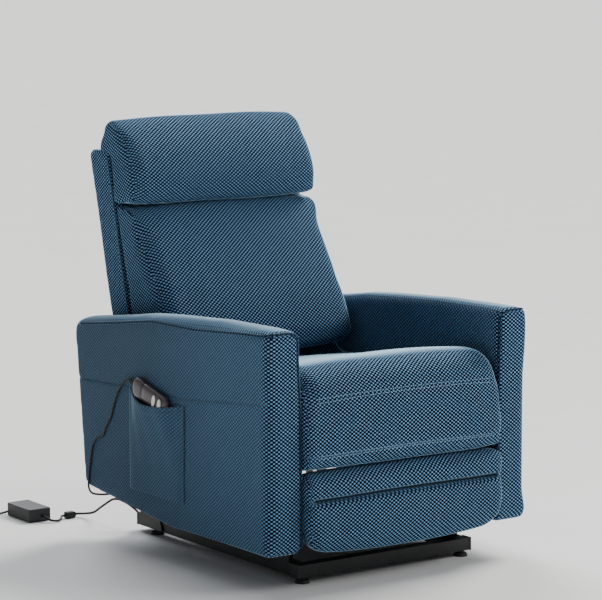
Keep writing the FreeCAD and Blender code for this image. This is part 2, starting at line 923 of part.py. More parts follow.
# (distance along the axis, distance to its left)
handset_outline = [
    (-14, 16), (-18, 0), (-14, -16), (0, -24), (20, -25), (120, -22),
    (132, -12), (134, 0), (132, 12), (120, 22), (20, 25), (0, 24),
]
handset_body = profile(
    [along(*handset_line, *each) for each in handset_outline], handset_out, handset_in
)
tail_block = slab(*handset_line, -38, -16, -4, 4, -402, -394)
wells = []
for name, start in (("up", 79.6), ("down", 104.3)):
    end = button_width + start
    button = slab(
        *handset_line, start, end, -button_half, button_half, handset_out - 2, handset_out + 1.5
    )
    part("handset_button_" + name, button)
    wells.append(
        slab(
            *handset_line, start - well_gap, end + well_gap,
            -(button_half + well_gap), button_half + well_gap,
            handset_out - 1, handset_out + 1.7 + button_travel,
        )
    )
part("handset_case", cut(fuse(handset_body, tail_block), *wells))
handset_cable_path = [
    (-396, 126, 426), (-394, 148, 424), (-392, 178, 408), (-390.5, 212, 360),
    (-389.5, 244, 300), (-389.5, 262, 270), (-389.5, 300, 258), (-389.5, 326, 214),
    (-389.5, 338, 160), (-386, 342, 118), (-366, 334, 104), (-330, 316, 104),
    (-292, 292, 108), (-274, 270, 118),
]
part("handset_cable", cable(handset_cable_path, dim("handset_cable_radius", 2.5)))

# ---------------------------------------------------------------- write the pieces
doc.recompute()
failed = []
for obj in doc.Objects:
    if "Invalid" in obj.State or "Error" in obj.State:
        failed.append("%s %s" % (obj.Name, obj.State))
for piece in parts:
    shape = piece.Shape
    if shape.isNull() or not shape.isValid() or not shape.Solids:
        failed.append("%s has no valid solid" % piece.Label)
if failed:
    raise RuntimeError("; ".join(failed[:20]))

os.makedirs("parts", exist_ok=True)
for old in os.listdir("parts"):
    if old.endswith(".step"):
        os.remove(os.path.join("parts", old))
# The files put the origin on the floor under the middle of the overall box, floor power
# supply included.
export_shift = Vector(97.5, -100.4, 0)
for piece in parts:
    shape = piece.Shape.copy()
    shape.translate(export_shift)
    shape.exportStep(os.path.join("parts", piece.Label + ".step"))
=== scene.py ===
import bpy
import math
import json
import numpy as np
from mathutils import Matrix, Vector

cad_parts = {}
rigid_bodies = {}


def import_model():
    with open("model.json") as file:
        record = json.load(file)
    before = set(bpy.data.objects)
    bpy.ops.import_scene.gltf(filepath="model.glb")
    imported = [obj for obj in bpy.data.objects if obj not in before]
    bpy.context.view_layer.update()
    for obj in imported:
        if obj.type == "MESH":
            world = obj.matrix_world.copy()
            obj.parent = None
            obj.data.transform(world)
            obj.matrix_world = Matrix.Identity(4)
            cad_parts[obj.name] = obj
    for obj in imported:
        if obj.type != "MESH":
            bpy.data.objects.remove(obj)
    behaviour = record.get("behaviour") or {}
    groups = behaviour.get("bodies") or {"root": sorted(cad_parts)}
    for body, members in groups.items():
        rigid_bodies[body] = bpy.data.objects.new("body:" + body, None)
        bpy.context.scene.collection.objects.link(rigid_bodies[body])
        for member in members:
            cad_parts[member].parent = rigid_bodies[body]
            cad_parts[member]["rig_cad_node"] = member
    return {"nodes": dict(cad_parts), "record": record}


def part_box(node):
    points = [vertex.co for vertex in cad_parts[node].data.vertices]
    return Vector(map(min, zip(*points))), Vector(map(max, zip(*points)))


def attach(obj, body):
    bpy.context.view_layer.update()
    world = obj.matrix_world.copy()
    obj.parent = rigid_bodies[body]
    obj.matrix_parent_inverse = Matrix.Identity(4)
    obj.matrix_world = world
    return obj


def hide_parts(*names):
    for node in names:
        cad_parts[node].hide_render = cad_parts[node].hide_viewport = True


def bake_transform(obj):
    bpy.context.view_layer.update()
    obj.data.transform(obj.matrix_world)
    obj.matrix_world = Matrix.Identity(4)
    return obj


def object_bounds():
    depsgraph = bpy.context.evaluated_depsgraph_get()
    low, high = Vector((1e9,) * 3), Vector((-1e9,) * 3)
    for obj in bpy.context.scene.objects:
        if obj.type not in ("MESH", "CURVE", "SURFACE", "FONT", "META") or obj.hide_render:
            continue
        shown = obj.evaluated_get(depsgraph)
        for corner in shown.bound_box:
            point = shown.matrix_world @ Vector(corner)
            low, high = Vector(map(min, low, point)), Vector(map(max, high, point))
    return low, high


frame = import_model()
cad_box = [list(v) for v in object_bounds()]
nodes = frame["nodes"]
COL = bpy.context.scene.collection
# everything below is drawn about the chair's own middle plane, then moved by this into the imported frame
OFF = Vector((0.0975, -0.1004, 0.0))

# ------------------------------------------------------------------ materials


class Tree:
    def __init__(self, name):
        self.m = bpy.data.materials.new(name)
        self.m.use_nodes = True
        self.t = self.m.node_tree
        self.t.nodes.clear()
        self.out = self.t.nodes.new("ShaderNodeOutputMaterial")
        self.b = self.t.nodes.new("ShaderNodeBsdfPrincipled")
        self.t.links.new(self.b.outputs[0], self.out.inputs[0])

    def n(self, kind, **kw):
        n = self.t.nodes.new(kind)
        for k, v in kw.items():
            setattr(n, k, v)
        return n

    def put(self, sock, v):
        if hasattr(v, "is_linked") or hasattr(v, "links"):
            self.t.links.new(v, sock)
        else:
            sock.default_value = v

    def math(self, op, a, b=0.0, c=None, clamp=False):
        n = self.n("ShaderNodeMath", operation=op, use_clamp=clamp)
        self.put(n.inputs[0], a)
        self.put(n.inputs[1], b)
        if c is not None:
            self.put(n.inputs[2], c)
        return n.outputs[0]

    def smooth(self, x, lo, hi, a=0.0, b=1.0):
        n = self.n("ShaderNodeMapRange", interpolation_type="SMOOTHSTEP")
        self.put(n.inputs["Value"], x)
        n.inputs["From Min"].default_value = lo
        n.inputs["From Max"].default_value = hi
        n.inputs["To Min"].default_value = a
        n.inputs["To Max"].default_value = b
        return n.outputs["Result"]

    def mix(self, f, a, b):
        n = self.n("ShaderNodeMix", data_type="RGBA")
        self.put(n.inputs[0], f)
        for s, v in ((n.inputs[6], a), (n.inputs[7], b)):
            self.put(s, v if hasattr(v, "links") else (*v, 1.0) if len(v) == 3 else v)
        return n.outputs[2]

    def noise(self, vec, scale, detail=3.0, rough=0.5):
        n = self.n("ShaderNodeTexNoise")
        if vec is not None:
            self.t.links.new(vec, n.inputs["Vector"])
        n.inputs["Scale"].default_value = scale
        n.inputs["Detail"].default_value = detail
        n.inputs["Roughness"].default_value = rough
        return n.outputs["Fac"]

    def obj(self):
        return self.n("ShaderNodeTexCoord").outputs["Object"]

    def bump(self, height, dist, strength=1.0):
        n = self.n("ShaderNodeBump")
        n.inputs["Strength"].default_value = strength
        n.inputs["Distance"].default_value = dist
        self.put(n.inputs["Height"], height)
        self.t.links.new(n.outputs[0], self.b.inputs["Normal"])


def srgb(r, g, b):
    f = lambda c: (c / 255 / 12.92) if c / 255 <= 0.04045 else ((c / 255 + 0.055) / 1.055) ** 2.4
    return (f(r), f(g), f(b))


CELL_U, CELL_V = 0.012, 0.009
THREAD = srgb(112, 160, 202)
# painted sheen: a lighter thread colour, blended in where the cloth is seen at a grazing angle
THREAD_PAINTED_SHEEN = srgb(186, 224, 246)
HOLE = srgb(3, 9, 22)


def mesh_fabric(name, thread=THREAD, edge=THREAD_PAINTED_SHEEN, hole=HOLE, depth=1.0, dark=1.0):
    """Three-dimensional spacer mesh: rows of dark round holes between light threads, read from the weave attribute."""
    s = Tree(name)
    a = s.n("ShaderNodeAttribute", attribute_name="weave")
    sep = s.n("ShaderNodeSeparateXYZ")
    s.t.links.new(a.outputs["Vector"], sep.inputs[0])
    obj = s.obj()
    wob = s.math("MULTIPLY", s.math("SUBTRACT", s.noise(obj, 22.0, 2.0), 0.5), 0.0022)
    u = s.math("ADD", sep.outputs[0], wob)
    v = s.math("ADD", sep.outputs[1], wob)
    # third weave channel: painted shade along sewn creases
    seam_shade = sep.outputs[2]
    cu = s.math("COSINE", s.math("MULTIPLY", u, 2 * math.pi / CELL_U))
    cv = s.math("COSINE", s.math("MULTIPLY", v, 2 * math.pi / CELL_V))
    h = s.math("MULTIPLY", cu, cv)
    geo = s.n("ShaderNodeNewGeometry")
    dot = s.n("ShaderNodeVectorMath", operation="DOT_PRODUCT")
    s.t.links.new(geo.outputs["Normal"], dot.inputs[0])
    s.t.links.new(geo.outputs["Incoming"], dot.inputs[1])
    facing = s.math("ABSOLUTE", dot.outputs["Value"])
    open_hole = s.smooth(h, -0.48, 0.08)
    vis = s.smooth(facing, 0.05, 0.34)
    mask = s.math("MULTIPLY", open_hole, vis)
    # painted shade: where this attribute is set, the holes are made shallower and the thread tone is darkened
    painted_shade = s.n("ShaderNodeAttribute", attribute_name="painted_shade").outputs["Fac"]
    mask = s.math("MULTIPLY", mask, s.math("SUBTRACT", 1.0, s.math("MULTIPLY", painted_shade, 0.62)))
    mask = s.math("MULTIPLY", mask, s.math("SUBTRACT", 1.0, s.math("MULTIPLY", seam_shade, 0.6, clamp=True)))
    # fine yarns running both ways inside each thread
    yarn = s.math("MULTIPLY", s.math("COSINE", s.math("MULTIPLY", s.math("ADD", u, v), 2 * math.pi / 0.0011)), 0.5)
    yarn = s.math("ADD", yarn, s.math("MULTIPLY", s.math("COSINE", s.math("MULTIPLY", s.math("SUBTRACT", u, v), 2 * math.pi / 0.0013)), 0.5))
    crest = s.smooth(h, 0.1, -0.9)
    big = s.noise(obj, 5.0, 3.0)
    mid = s.noise(obj, 60.0, 2.0)
    tone = s.math("ADD", s.math("MULTIPLY", s.math("SUBTRACT", big, 0.5), 0.18), s.math("MULTIPLY", s.math("SUBTRACT", mid, 0.5), 0.16))
    tone = s.math("ADD", tone, s.math("MULTIPLY", yarn, 0.05))
    # painted highlight: the thread crests between the holes are lightened
    tone = s.math("ADD", tone, s.math("MULTIPLY", crest, 0.22))
    tone = s.math("ADD", tone, 0.86 * dark)
    # painted shade: the thread tone is darkened by up to 72 % where the attribute is set
    tone = s.math("MULTIPLY", tone, s.math("SUBTRACT", 1.0, s.math("MULTIPLY", painted_shade, 0.72)))
    # painted sheen: towards grazing view angles the thread colour is blended to the lighter edge colour
    painted_sheen_fac = s.smooth(facing, 0.32, 0.02)
    col = s.mix(painted_sheen_fac, thread, edge)
    bc = s.n("ShaderNodeVectorMath", operation="SCALE")
    s.t.links.new(col, bc.inputs[0])
    s.t.links.new(tone, bc.inputs["Scale"])
    col = s.mix(mask, bc.outputs[0], hole)
    # painted shade: along the sewn creases the colour is pulled towards near black
    col = s.mix(s.math("MULTIPLY", seam_shade, 0.8, clamp=True), col, tuple(0.06 * c for c in thread))
    s.t.links.new(col, s.b.inputs["Base Color"])
    s.put(s.b.inputs["Roughness"], s.math("ADD", 0.72, s.math("MULTIPLY", mask, 0.2)))
    s.put(s.b.inputs["Specular IOR Level"], s.math("MULTIPLY", s.math("SUBTRACT", 1.0, mask, clamp=True), 0.25))
    s.put(s.b.inputs["Sheen Weight"], s.math("MULTIPLY", s.math("SUBTRACT", 1.0, mask, clamp=True), 0.22))
    s.b.inputs["Sheen Roughness"].default_value = 0.45
    s.b.inputs["Sheen Tint"].default_value = (0.48, 0.74, 0.96, 1)
    height = s.math("SUBTRACT", s.math("MULTIPLY", crest, 0.35), s.math("MULTIPLY", mask, 1.0))
    height = s.math("ADD", height, s.math("MULTIPLY", yarn, 0.08))
    s.bump(height, 0.0012 * depth, 0.9)
    return s.m


def metal(name, color, rough, metallic, grain=40.0, bump=0.0002, spec=0.5, coat=0.0):
    s = Tree(name)
    o = s.obj()
    m = s.n("ShaderNodeMapping")
    s.t.links.new(o, m.inputs[0])
    m.inputs["Scale"].default_value = (1, 1, 3)
    fine = s.noise(m.outputs[0], grain * 12, 3.0)
    big = s.noise(o, 6.0, 4.0, 0.6)
    wear = s.smooth(s.noise(o, 38.0, 5.0, 0.7), 0.62, 0.78)
    tone = s.math("ADD", 0.86, s.math("MULTIPLY", big, 0.28))
    sc = s.n("ShaderNodeVectorMath", operation="SCALE")
    s.put(sc.inputs[0], color)
    s.t.links.new(tone, sc.inputs["Scale"])
    s.t.links.new(s.mix(s.math("MULTIPLY", wear, 0.25), sc.outputs[0], tuple(min(1, c * 1.9 + 0.02) for c in color)), s.b.inputs["Base Color"])
    s.b.inputs["Metallic"].default_value = metallic
    s.put(s.b.inputs["Roughness"], s.math("ADD", rough, s.math("MULTIPLY", s.math("SUBTRACT", big, 0.5), 0.2)))
    s.b.inputs["Specular IOR Level"].default_value = spec
    s.b.inputs["Coat Weight"].default_value = coat
    s.bump(s.math("ADD", fine, s.math("MULTIPLY", big, 0.4)), bump, 0.6)
    return s.m


def wood(name):
    s = Tree(name)
    o = s.obj()
    m = s.n("ShaderNodeMapping")
    s.t.links.new(o, m.inputs[0])
    m.inputs["Scale"].default_value = (2.0, 14.0, 14.0)
    g = s.noise(m.outputs[0], 3.0, 6.0, 0.65)
    f = s.noise(m.outputs[0], 22.0, 4.0, 0.7)
    col = s.mix(s.smooth(g, 0.3, 0.7), srgb(176, 138, 96), srgb(212, 182, 138))
    col = s.mix(s.math("MULTIPLY", s.smooth(f, 0.55, 0.8), 0.35), col, srgb(120, 86, 54))
    s.t.links.new(col, s.b.inputs["Base Color"])
    s.b.inputs["Roughness"].default_value = 0.75
    s.bump(s.math("ADD", g, s.math("MULTIPLY", f, 0.5)), 0.0005, 0.7)
    return s.m


def cloth_dark(name, base):
    s = Tree(name)
    o = s.obj()
    w = s.n("ShaderNodeTexWave", wave_type="BANDS", bands_direction="DIAGONAL")
    s.t.links.new(o, w.inputs["Vector"])
    w.inputs["Scale"].default_value = 260
    w.inputs["Distortion"].default_value = 1.2
    n = s.noise(o, 9.0, 3.0)
    sc = s.n("ShaderNodeVectorMath", operation="SCALE")
    s.put(sc.inputs[0], base)
    s.t.links.new(s.math("ADD", 0.8, s.math("MULTIPLY", n, 0.4)), sc.inputs["Scale"])
    s.t.links.new(sc.outputs[0], s.b.inputs["Base Color"])
    s.b.inputs["Roughness"].default_value = 0.9
    s.b.inputs["Sheen Weight"].default_value = 0.2
    s.bump(w.outputs["Fac"], 0.0004, 0.6)
    return s.m


MAT = {
    "fabric": mesh_fabric("mesh_fabric_blue"),
    # painted shade: the arm piping is painted much darker than the cover, and the shell piping below is a less dark
    # copy; their edge colours are painted sheen
    "welt_painted_shade": mesh_fabric("mesh_fabric_welt_painted_shade", thread=srgb(52, 78, 104), edge=srgb(110, 150, 182), hole=srgb(14, 28, 44), depth=0.4),
    "welt_shell": mesh_fabric("mesh_fabric_welt_shell", thread=srgb(92, 132, 164), edge=srgb(150, 190, 218), hole=srgb(40, 66, 92), depth=0.4),
    "steel_black": metal("steel_powder_black", (0.008, 0.0085, 0.010), 0.46, 0.0, 60, 0.00015, 0.4),
    "steel_zinc": metal("steel_zinc_plate", (0.62, 0.63, 0.64), 0.28, 1.0, 90, 0.0001),
    "rod": metal("steel_ground_rod", (0.7, 0.71, 0.73), 0.14, 1.0, 30, 0.00005),
    "plastic_black": metal("plastic_black_textured", (0.016, 0.016, 0.018), 0.46, 0.0, 150, 0.0002, 0.45),
    "rubber": metal("rubber_black", (0.014, 0.014, 0.015), 0.62, 0.0, 90, 0.0002, 0.35),
    "case": metal("handset_case_satin", srgb(74, 66, 68), 0.34, 0.0, 120, 0.0001, 0.5),
    "case_dark": metal("handset_band_dark", srgb(26, 24, 26), 0.4, 0.0, 120, 0.0001, 0.5),
    "button": metal("button_white", srgb(226, 226, 224), 0.3, 0.0, 140, 0.00005, 0.5),
    "mark": metal("button_mark_grey", srgb(120, 122, 126), 0.4, 0.0, 140, 0.00005, 0.5),
    "wood": wood("frame_timber"),
    "lining": cloth_dark("lining_black_woven", (0.012, 0.013, 0.015)),
}
SLOT_MAT = {
    "fabric_blue": "fabric",
    "wood": "wood",
    "steel_black": "steel_black",
    "steel_zinc": "steel_zinc",
    "plastic_black": "plastic_black",
    "plastic_grey": "case",
    "button_white": "button",
    "rubber_black": "rubber",
    "lining": "lining",
}
slot_of = {s["node"]: s["material_slot"] for s in frame["record"]["subparts"]}
for n, o in nodes.items():
    m = MAT["steel_black" if n == "front_cross_tube" else SLOT_MAT[slot_of[n]]]
    if n in ("lift_rod", "recline_rod"):
        m = MAT["rod"]
    o.data.materials.clear()
    o.data.materials.append(m)
    if n not in ("seat_springs", "back_springs", "handset_cable", "adapter_lead", "mains_lead", "lead_connector"):
        b = o.modifiers.new("edge", "BEVEL")
        b.width = 0.0012 if n not in ("power_adapter",) else 0.0008
        b.segments = 2
        b.limit_method = "ANGLE"
        b.angle_limit = math.radians(40)
        b.harden_normals = False

# ------------------------------------------------------------------ geometry helpers


def new_obj(name, verts, faces, mat, smooth=True):
    me = bpy.data.meshes.new(name)
    me.from_pydata([tuple(map(float, v)) for v in verts], [], [tuple(map(int, f)) for f in faces])
    me.validate()
    o = bpy.data.objects.new(name, me)
    COL.objects.link(o)
    if mat is not None:
        me.materials.append(MAT[mat] if isinstance(mat, str) else mat)
    if smooth:
        me.polygons.foreach_set("use_smooth", [True] * len(me.polygons))
    return o


def co_of(o):
    c = np.zeros(len(o.data.vertices) * 3)
    o.data.vertices.foreach_get("co", c)
    return c.reshape(-1, 3)


def set_co(o, c):
    o.data.vertices.foreach_set("co", np.asarray(c, np.float32).ravel())
    o.data.update()


def catmull(points, per=6, closed=True):
    p = np.array(points, float)
    n = len(p)
    out = []
    last = n if closed else n - 1
    for i in range(last):
        p0, p1, p2, p3 = (
            p[(i - 1) % n] if closed or i else p[0],
            p[i],
            p[(i + 1) % n],
            p[(i + 2) % n] if closed or i + 2 < n else p[-1],
        )
        # centripetal knots keep the curve from looping at uneven spacing
        t1 = max(np.linalg.norm(p1 - p0), 1e-9) ** 0.5
        t2 = t1 + max(np.linalg.norm(p2 - p1), 1e-9) ** 0.5
        t3 = t2 + max(np.linalg.norm(p3 - p2), 1e-9) ** 0.5
        for k in range(per):
            t = t1 + (t2 - t1) * k / per
            a1 = p0 * (t1 - t) / t1 + p1 * t / t1
            a2 = p1 * (t2 - t) / (t2 - t1) + p2 * (t - t1) / (t2 - t1)
            a3 = p2 * (t3 - t) / (t3 - t2) + p3 * (t - t2) / (t3 - t2)
            b1 = a1 * (t2 - t) / t2 + a2 * t / t2
            b2 = a2 * (t3 - t) / (t3 - t1) + a3 * (t - t1) / (t3 - t1)
            out.append(b1 * (t2 - t) / (t2 - t1) + b2 * (t - t1) / (t2 - t1))
    if not closed:
        out.append(p[-1])
    return np.array(out)


def poly_near(p, poly):
    """Signed distance to a closed outline (negative inside), and the arc length of the nearest point."""
    a = poly
    b = np.roll(poly, -1, axis=0)
    e = b - a
    seg = np.linalg.norm(e, axis=1)
    arc0 = np.concatenate([[0], np.cumsum(seg)[:-1]])
    ee = (e * e).sum(1)
    best = np.full(len(p), 1e9)
    arc = np.zeros(len(p))
    inside = np.zeros(len(p), bool)
    for i in range(len(a)):
        w = p - a[i]
        t = np.clip((w @ e[i]) / ee[i], 0, 1)
        d = w - t[:, None] * e[i]
        dd = (d * d).sum(1)
        better = dd < best
        best = np.where(better, dd, best)
        arc = np.where(better, arc0[i] + t * seg[i], arc)
        c1 = (a[i, 1] <= p[:, 1]) & (b[i, 1] > p[:, 1])
        c2 = (a[i, 1] > p[:, 1]) & (b[i, 1] <= p[:, 1])
        cross = e[i, 0] * w[:, 1] - e[i, 1] * w[:, 0]
        inside ^= (c1 & (cross > 0)) | (c2 & (cross < 0))
    d = np.sqrt(best)
    return np.where(inside, -d, d), arc


def rounded_and(d1, d2, r):
    q1, q2 = d1 + r, d2 + r
    m1, m2 = np.maximum(q1, 0), np.maximum(q2, 0)
    return np.minimum(np.maximum(q1, q2), 0) + np.sqrt(m1 * m1 + m2 * m2) - r


def prism(outline, lo, hi, axis):
    """A closed prism of a 2-D outline along one axis, as (verts, faces)."""
    n = len(outline)
    rows = []
    for q in (lo, hi):
        for a, b in outline:
            v = [a, b]
            v.insert(axis, q)
            rows.append(v)
    faces = [list(range(n)), list(range(2 * n - 1, n - 1, -1))]
    faces += [[i, i + n, (i + 1) % n + n, (i + 1) % n] for i in range(n)]
    return np.array(rows), faces


def remeshed(name, verts, faces, voxel, mat):
    o = new_obj(name, verts, faces, mat)
    bm = o.modifiers.new("tri", "TRIANGULATE")
    r = o.modifiers.new("vox", "REMESH")
    r.mode = "VOXEL"
    r.voxel_size = voxel
    r.use_smooth_shade = True
    dg = bpy.context.evaluated_depsgraph_get()
    me = bpy.data.meshes.new_from_object(o.evaluated_get(dg))
    old = o.data
    o.modifiers.clear()
    o.data = me
    bpy.data.meshes.remove(old)
    me.name = name
    if not me.materials:
        me.materials.append(MAT[mat])
    me.polygons.foreach_set("use_smooth", [True] * len(me.polygons))
    return o


def settle(o, sdf, rounds=5):
    """Moves every vertex on to the zero level of a distance-like function."""
    c = co_of(o)
    h = 1e-4
    for _ in range(rounds):
        d = sdf(c)
        g = np.stack([(sdf(c + np.eye(3)[k] * h) - d) / h for k in range(3)], 1)
        gg = np.maximum((g * g).sum(1), 0.2)
        step = np.clip(d / gg, -0.02, 0.02)[:, None] * g
        c = c - step
    set_co(o, c)
    return c


def relax(o, rounds=2, w=0.5, keep=None):
    me = o.data
    e = np.zeros(len(me.edges) * 2, int)
    me.edges.foreach_get("vertices", e)
    e = e.reshape(-1, 2)
    c = co_of(o)
    n = len(c)
    deg = np.bincount(e.ravel(), minlength=n)[:, None]
    for _ in range(rounds):
        s = np.zeros_like(c)
        for k in range(3):
            s[:, k] = np.bincount(e[:, 0], c[e[:, 1], k], n) + np.bincount(e[:, 1], c[e[:, 0], k], n)
        c = c + w * (s / np.maximum(deg, 1) - c)
    set_co(o, c)


def set_painted_shade(o, fn):
    """Marks where the cloth gets painted shade: its colour is darkened and its holes read shallower."""
    me = o.data
    at = me.attributes.new("painted_shade", "FLOAT", "POINT")
    at.data.foreach_set("value", np.asarray(fn(co_of(o)), np.float32))


def set_weave(o, u, v, seam_shade=None):
    me = o.data
    at = me.attributes.get("weave") or me.attributes.new("weave", "FLOAT_VECTOR", "POINT")
    w = np.zeros((len(me.vertices), 3), np.float32)
    w[:, 0], w[:, 1] = u, v
    if seam_shade is not None:
        w[:, 2] = seam_shade
    at.data.foreach_set("vector", w.ravel())


def tube(name, pts, r, mat, sides=10, closed=False, body=None, twist_uv=True, radii=None):
    p = np.array(pts, float)
    n = len(p)
    t = np.gradient(p, axis=0) if not closed else (np.roll(p, -1, 0) - np.roll(p, 1, 0))
    t /= np.linalg.norm(t, axis=1)[:, None]
    ref = np.array([0, 0, 1.0]) if abs(t[0][2]) < 0.9 else np.array([1.0, 0, 0])
    nrm = np.cross(t[0], ref)
    nrm /= np.linalg.norm(nrm)
    vs, us, ws = [], [], []
    arc = np.concatenate([[0], np.cumsum(np.linalg.norm(np.diff(p, axis=0), axis=1))])
    for i in range(n):
        nrm = nrm - t[i] * (nrm @ t[i])
        nrm /= np.linalg.norm(nrm)
        bi = np.cross(t[i], nrm)
        rr = r if radii is None else radii[i]
        for k in range(sides):
            a = 2 * math.pi * k / sides
            vs.append(p[i] + rr * (math.cos(a) * nrm + math.sin(a) * bi))
            us.append(arc[i])
            ws.append(rr * a)
    fs = []
    last = n if closed else n - 1
    for i in range(last):
        j = (i + 1) % n
        for k in range(sides):
            m = (k + 1) % sides
            fs.append([i * sides + k, i * sides + m, j * sides + m, j * sides + k])
    if not closed:
        for i, sgn in ((0, -1), (n - 1, 1)):
            vs.append(p[i] + t[i] * sgn * (r if radii is None else radii[i]) * 0.45)
            us.append(arc[i])
            ws.append(0)
            c = len(vs) - 1
            for k in range(sides):
                m = (k + 1) % sides
                f = [i * sides + k, i * sides + m, c]
                fs.append(f if sgn > 0 else f[::-1])
    o = new_obj(name, vs, fs, mat)
    set_weave(o, np.array(us), np.array(ws))
    if body:
        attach(o, body)
    return o


def done(o, body, slot, *replaces):
    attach(o, body)
    if replaces:
        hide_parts(*replaces)
    return o


def gauss(d, w):
    return np.exp(-((d / w) ** 2))


def lerp(x, xs, ys):
    return np.interp(x, xs, ys)


def wrinkle(p, amp, scale, seed):
    """Very low, smooth unevenness of stuffed fabric."""
    rng = np.random.RandomState(seed)
    s = np.zeros(len(p))
    for _ in range(7):
        k = rng.normal(size=3)
        k = k / np.linalg.norm(k) * scale * rng.uniform(0.6, 1.6)
        s += np.sin(p @ k + rng.uniform(0, 6.28))
    return amp * s / 2.6


def refine(o, levels=1):
    """One smooth subdivision, applied."""
    m = o.modifiers.new("sub", "SUBSURF")
    m.levels = m.render_levels = levels
    dg = bpy.context.evaluated_depsgraph_get()
    me = bpy.data.meshes.new_from_object(o.evaluated_get(dg))
    old = o.data
    o.modifiers.clear()
    o.data = me
    bpy.data.meshes.remove(old)
    me.polygons.foreach_set("use_smooth", [True] * len(me.polygons))


def vertex_normals(o):
    n = np.zeros(len(o.data.vertices) * 3)
    o.data.vertices.foreach_get("normal", n)
    return n.reshape(-1, 3)


def press(o, carve):
    """Pushes the surface in along its own normal by a depth given at each point."""
    c = co_of(o)
    set_co(o, c - vertex_normals(o) * carve(c)[:, None])


def cushion(name, outline, half, r, voxel, crown, mat="fabric", carve=None, seed=1, lumps=0.0012, rounds=5, smooth=5, crown_z=None):
    """A stuffed form: outline in Y-Z, half width in X, rounded edges, crowned faces, sewn channels. r may be a function of the points."""
    poly = catmull(outline, smooth) if smooth else np.array(outline)
    vs, fs = prism(poly, -half, half, 0)
    o = remeshed(name, vs, fs, voxel, mat)

    def base(p):
        x = p[:, 0]
        d2, _ = poly_near(p[:, 1:3], poly)
        t = np.clip(np.abs(x) / half, 0, 1.2) * (1 if crown_z is None else sstep(p[:, 2], *crown_z))
        rr = r(p) if callable(r) else r
        d = rounded_and(d2 + crown * t**3, np.abs(x) - half, rr)
        if lumps:
            d = d - wrinkle(p, lumps, 16.0, seed)
        return d

    settle(o, base, rounds)
    relax(o, 1, 0.3)
    refine(o)
    if carve is not None:
        press(o, carve)

    def sdf(p):
        return base(p) + (carve(p) if carve is not None else 0)

    return o, poly, sdf


def weave_cushion(o, poly, half, r, seam_shade=None, depth_of=None):
    """The front cloth runs over the rounded edge; the side faces carry on from it with their own straight grain."""
    flat = half - r

    def front(c):
        ax = np.abs(c[:, 0])
        th = np.arcsin(np.clip((ax - flat) / r, 0, 1))
        return np.where(ax <= flat, ax, flat + r * th) * np.sign(c[:, 0]), poly_near(c[:, 1:3], poly)[1]

    def side(c):
        if depth_of is None:
            return c[:, 1], c[:, 2]
        return depth_of(c)

    corner_weave(o, (lambda c, n: np.where(np.abs(n[:, 0]) > 0.80, 1, 0), [front, side]), seam_shade)


def slope_chart(c):
    a = math.atan2(0.125, 0.525)
    return (c[:, 1] * math.cos(a) - c[:, 2] * math.sin(a), c[:, 2] * math.cos(a) + c[:, 1] * math.sin(a))


def fillet(points, radii, steps=5):
    """Rounds the corners of a closed outline."""
    p = np.array(points, float)
    n = len(p)
    if np.isscalar(radii):
        radii = [radii] * n
    out = []
    for i in range(n):
        a, b, c = p[i - 1], p[i], p[(i + 1) % n]
        u, v = a - b, c - b
        lu, lv = np.linalg.norm(u), np.linalg.norm(v)
        u, v = u / lu, v / lv
        ang = math.acos(max(-1, min(1, float(u @ v))))
        if radii[i] <= 0 or ang > math.pi - 0.05:
            out.append(b)
            continue
        reach = min(radii[i] / math.tan(ang / 2), 0.48 * lu, 0.48 * lv)
        s, e = b + u * reach, b + v * reach
        for k in range(steps + 1):
            t = k / steps
            out.append((1 - t) ** 2 * s + 2 * t * (1 - t) * b + t * t * e)
    return np.array(out)


def sstep(x, a, b):
    t = np.clip((x - a) / (b - a), 0, 1)
    return t * t * (3 - 2 * t)


def corner_weave(o, charts, seam_shade=None):
    """Weave coordinates per face corner: charts(centre, normal) gives a chart number per face, and a function per chart gives (u, v)."""
    me = o.data
    n = len(me.polygons)
    cen = np.zeros(n * 3)
    nor = np.zeros(n * 3)
    me.polygons.foreach_get("center", cen)
    me.polygons.foreach_get("normal", nor)
    pick, maps = charts
    which = pick(cen.reshape(-1, 3), nor.reshape(-1, 3))
    tot = np.zeros(n, int)
    me.polygons.foreach_get("loop_total", tot)
    lv = np.zeros(len(me.loops), int)
    me.loops.foreach_get("vertex_index", lv)
    lp = np.repeat(np.arange(n), tot)
    c = co_of(o)
    out = np.zeros((len(lv), 3), np.float32)
    for k, f in enumerate(maps):
        u, v = f(c)
        sel = which[lp] == k
        out[sel, 0] = u[lv[sel]]
        out[sel, 1] = v[lv[sel]]
    if seam_shade is not None:
        out[:, 2] = seam_shade(c)[lv]
    old = me.attributes.get("weave")
    if old:
        me.attributes.remove(old)
    at = me.attributes.new("weave", "FLOAT_VECTOR", "CORNER")
    at.data.foreach_set("vector", out.ravel())


def land(points, sdf, rounds=6, lift=0.0):
    """Brings a list of points on to a surface, then lifts them off it; gives points and outward normals."""
    c = np.array(points, float)
    h = 1e-4
    for _ in range(rounds):
        d = sdf(c) - lift
        g = np.stack([(sdf(c + np.eye(3)[k] * h) - sdf(c)) / h for k in range(3)], 1)
        gg = np.maximum((g * g).sum(1), 0.2)
        c = c - np.clip(d / gg, -0.02, 0.02)[:, None] * g
    g /= np.linalg.norm(g, axis=1)[:, None]
    return c, g


def resample(p, step):
    p = np.array(p, float)
    seg = np.linalg.norm(np.diff(p, axis=0), axis=1)
    s = np.concatenate([[0], np.cumsum(seg)])
    n = max(2, int(round(s[-1] / step)) + 1)
    t = np.linspace(0, s[-1], n)
    return np.stack([np.interp(t, s, p[:, k]) for k in range(3)], 1)


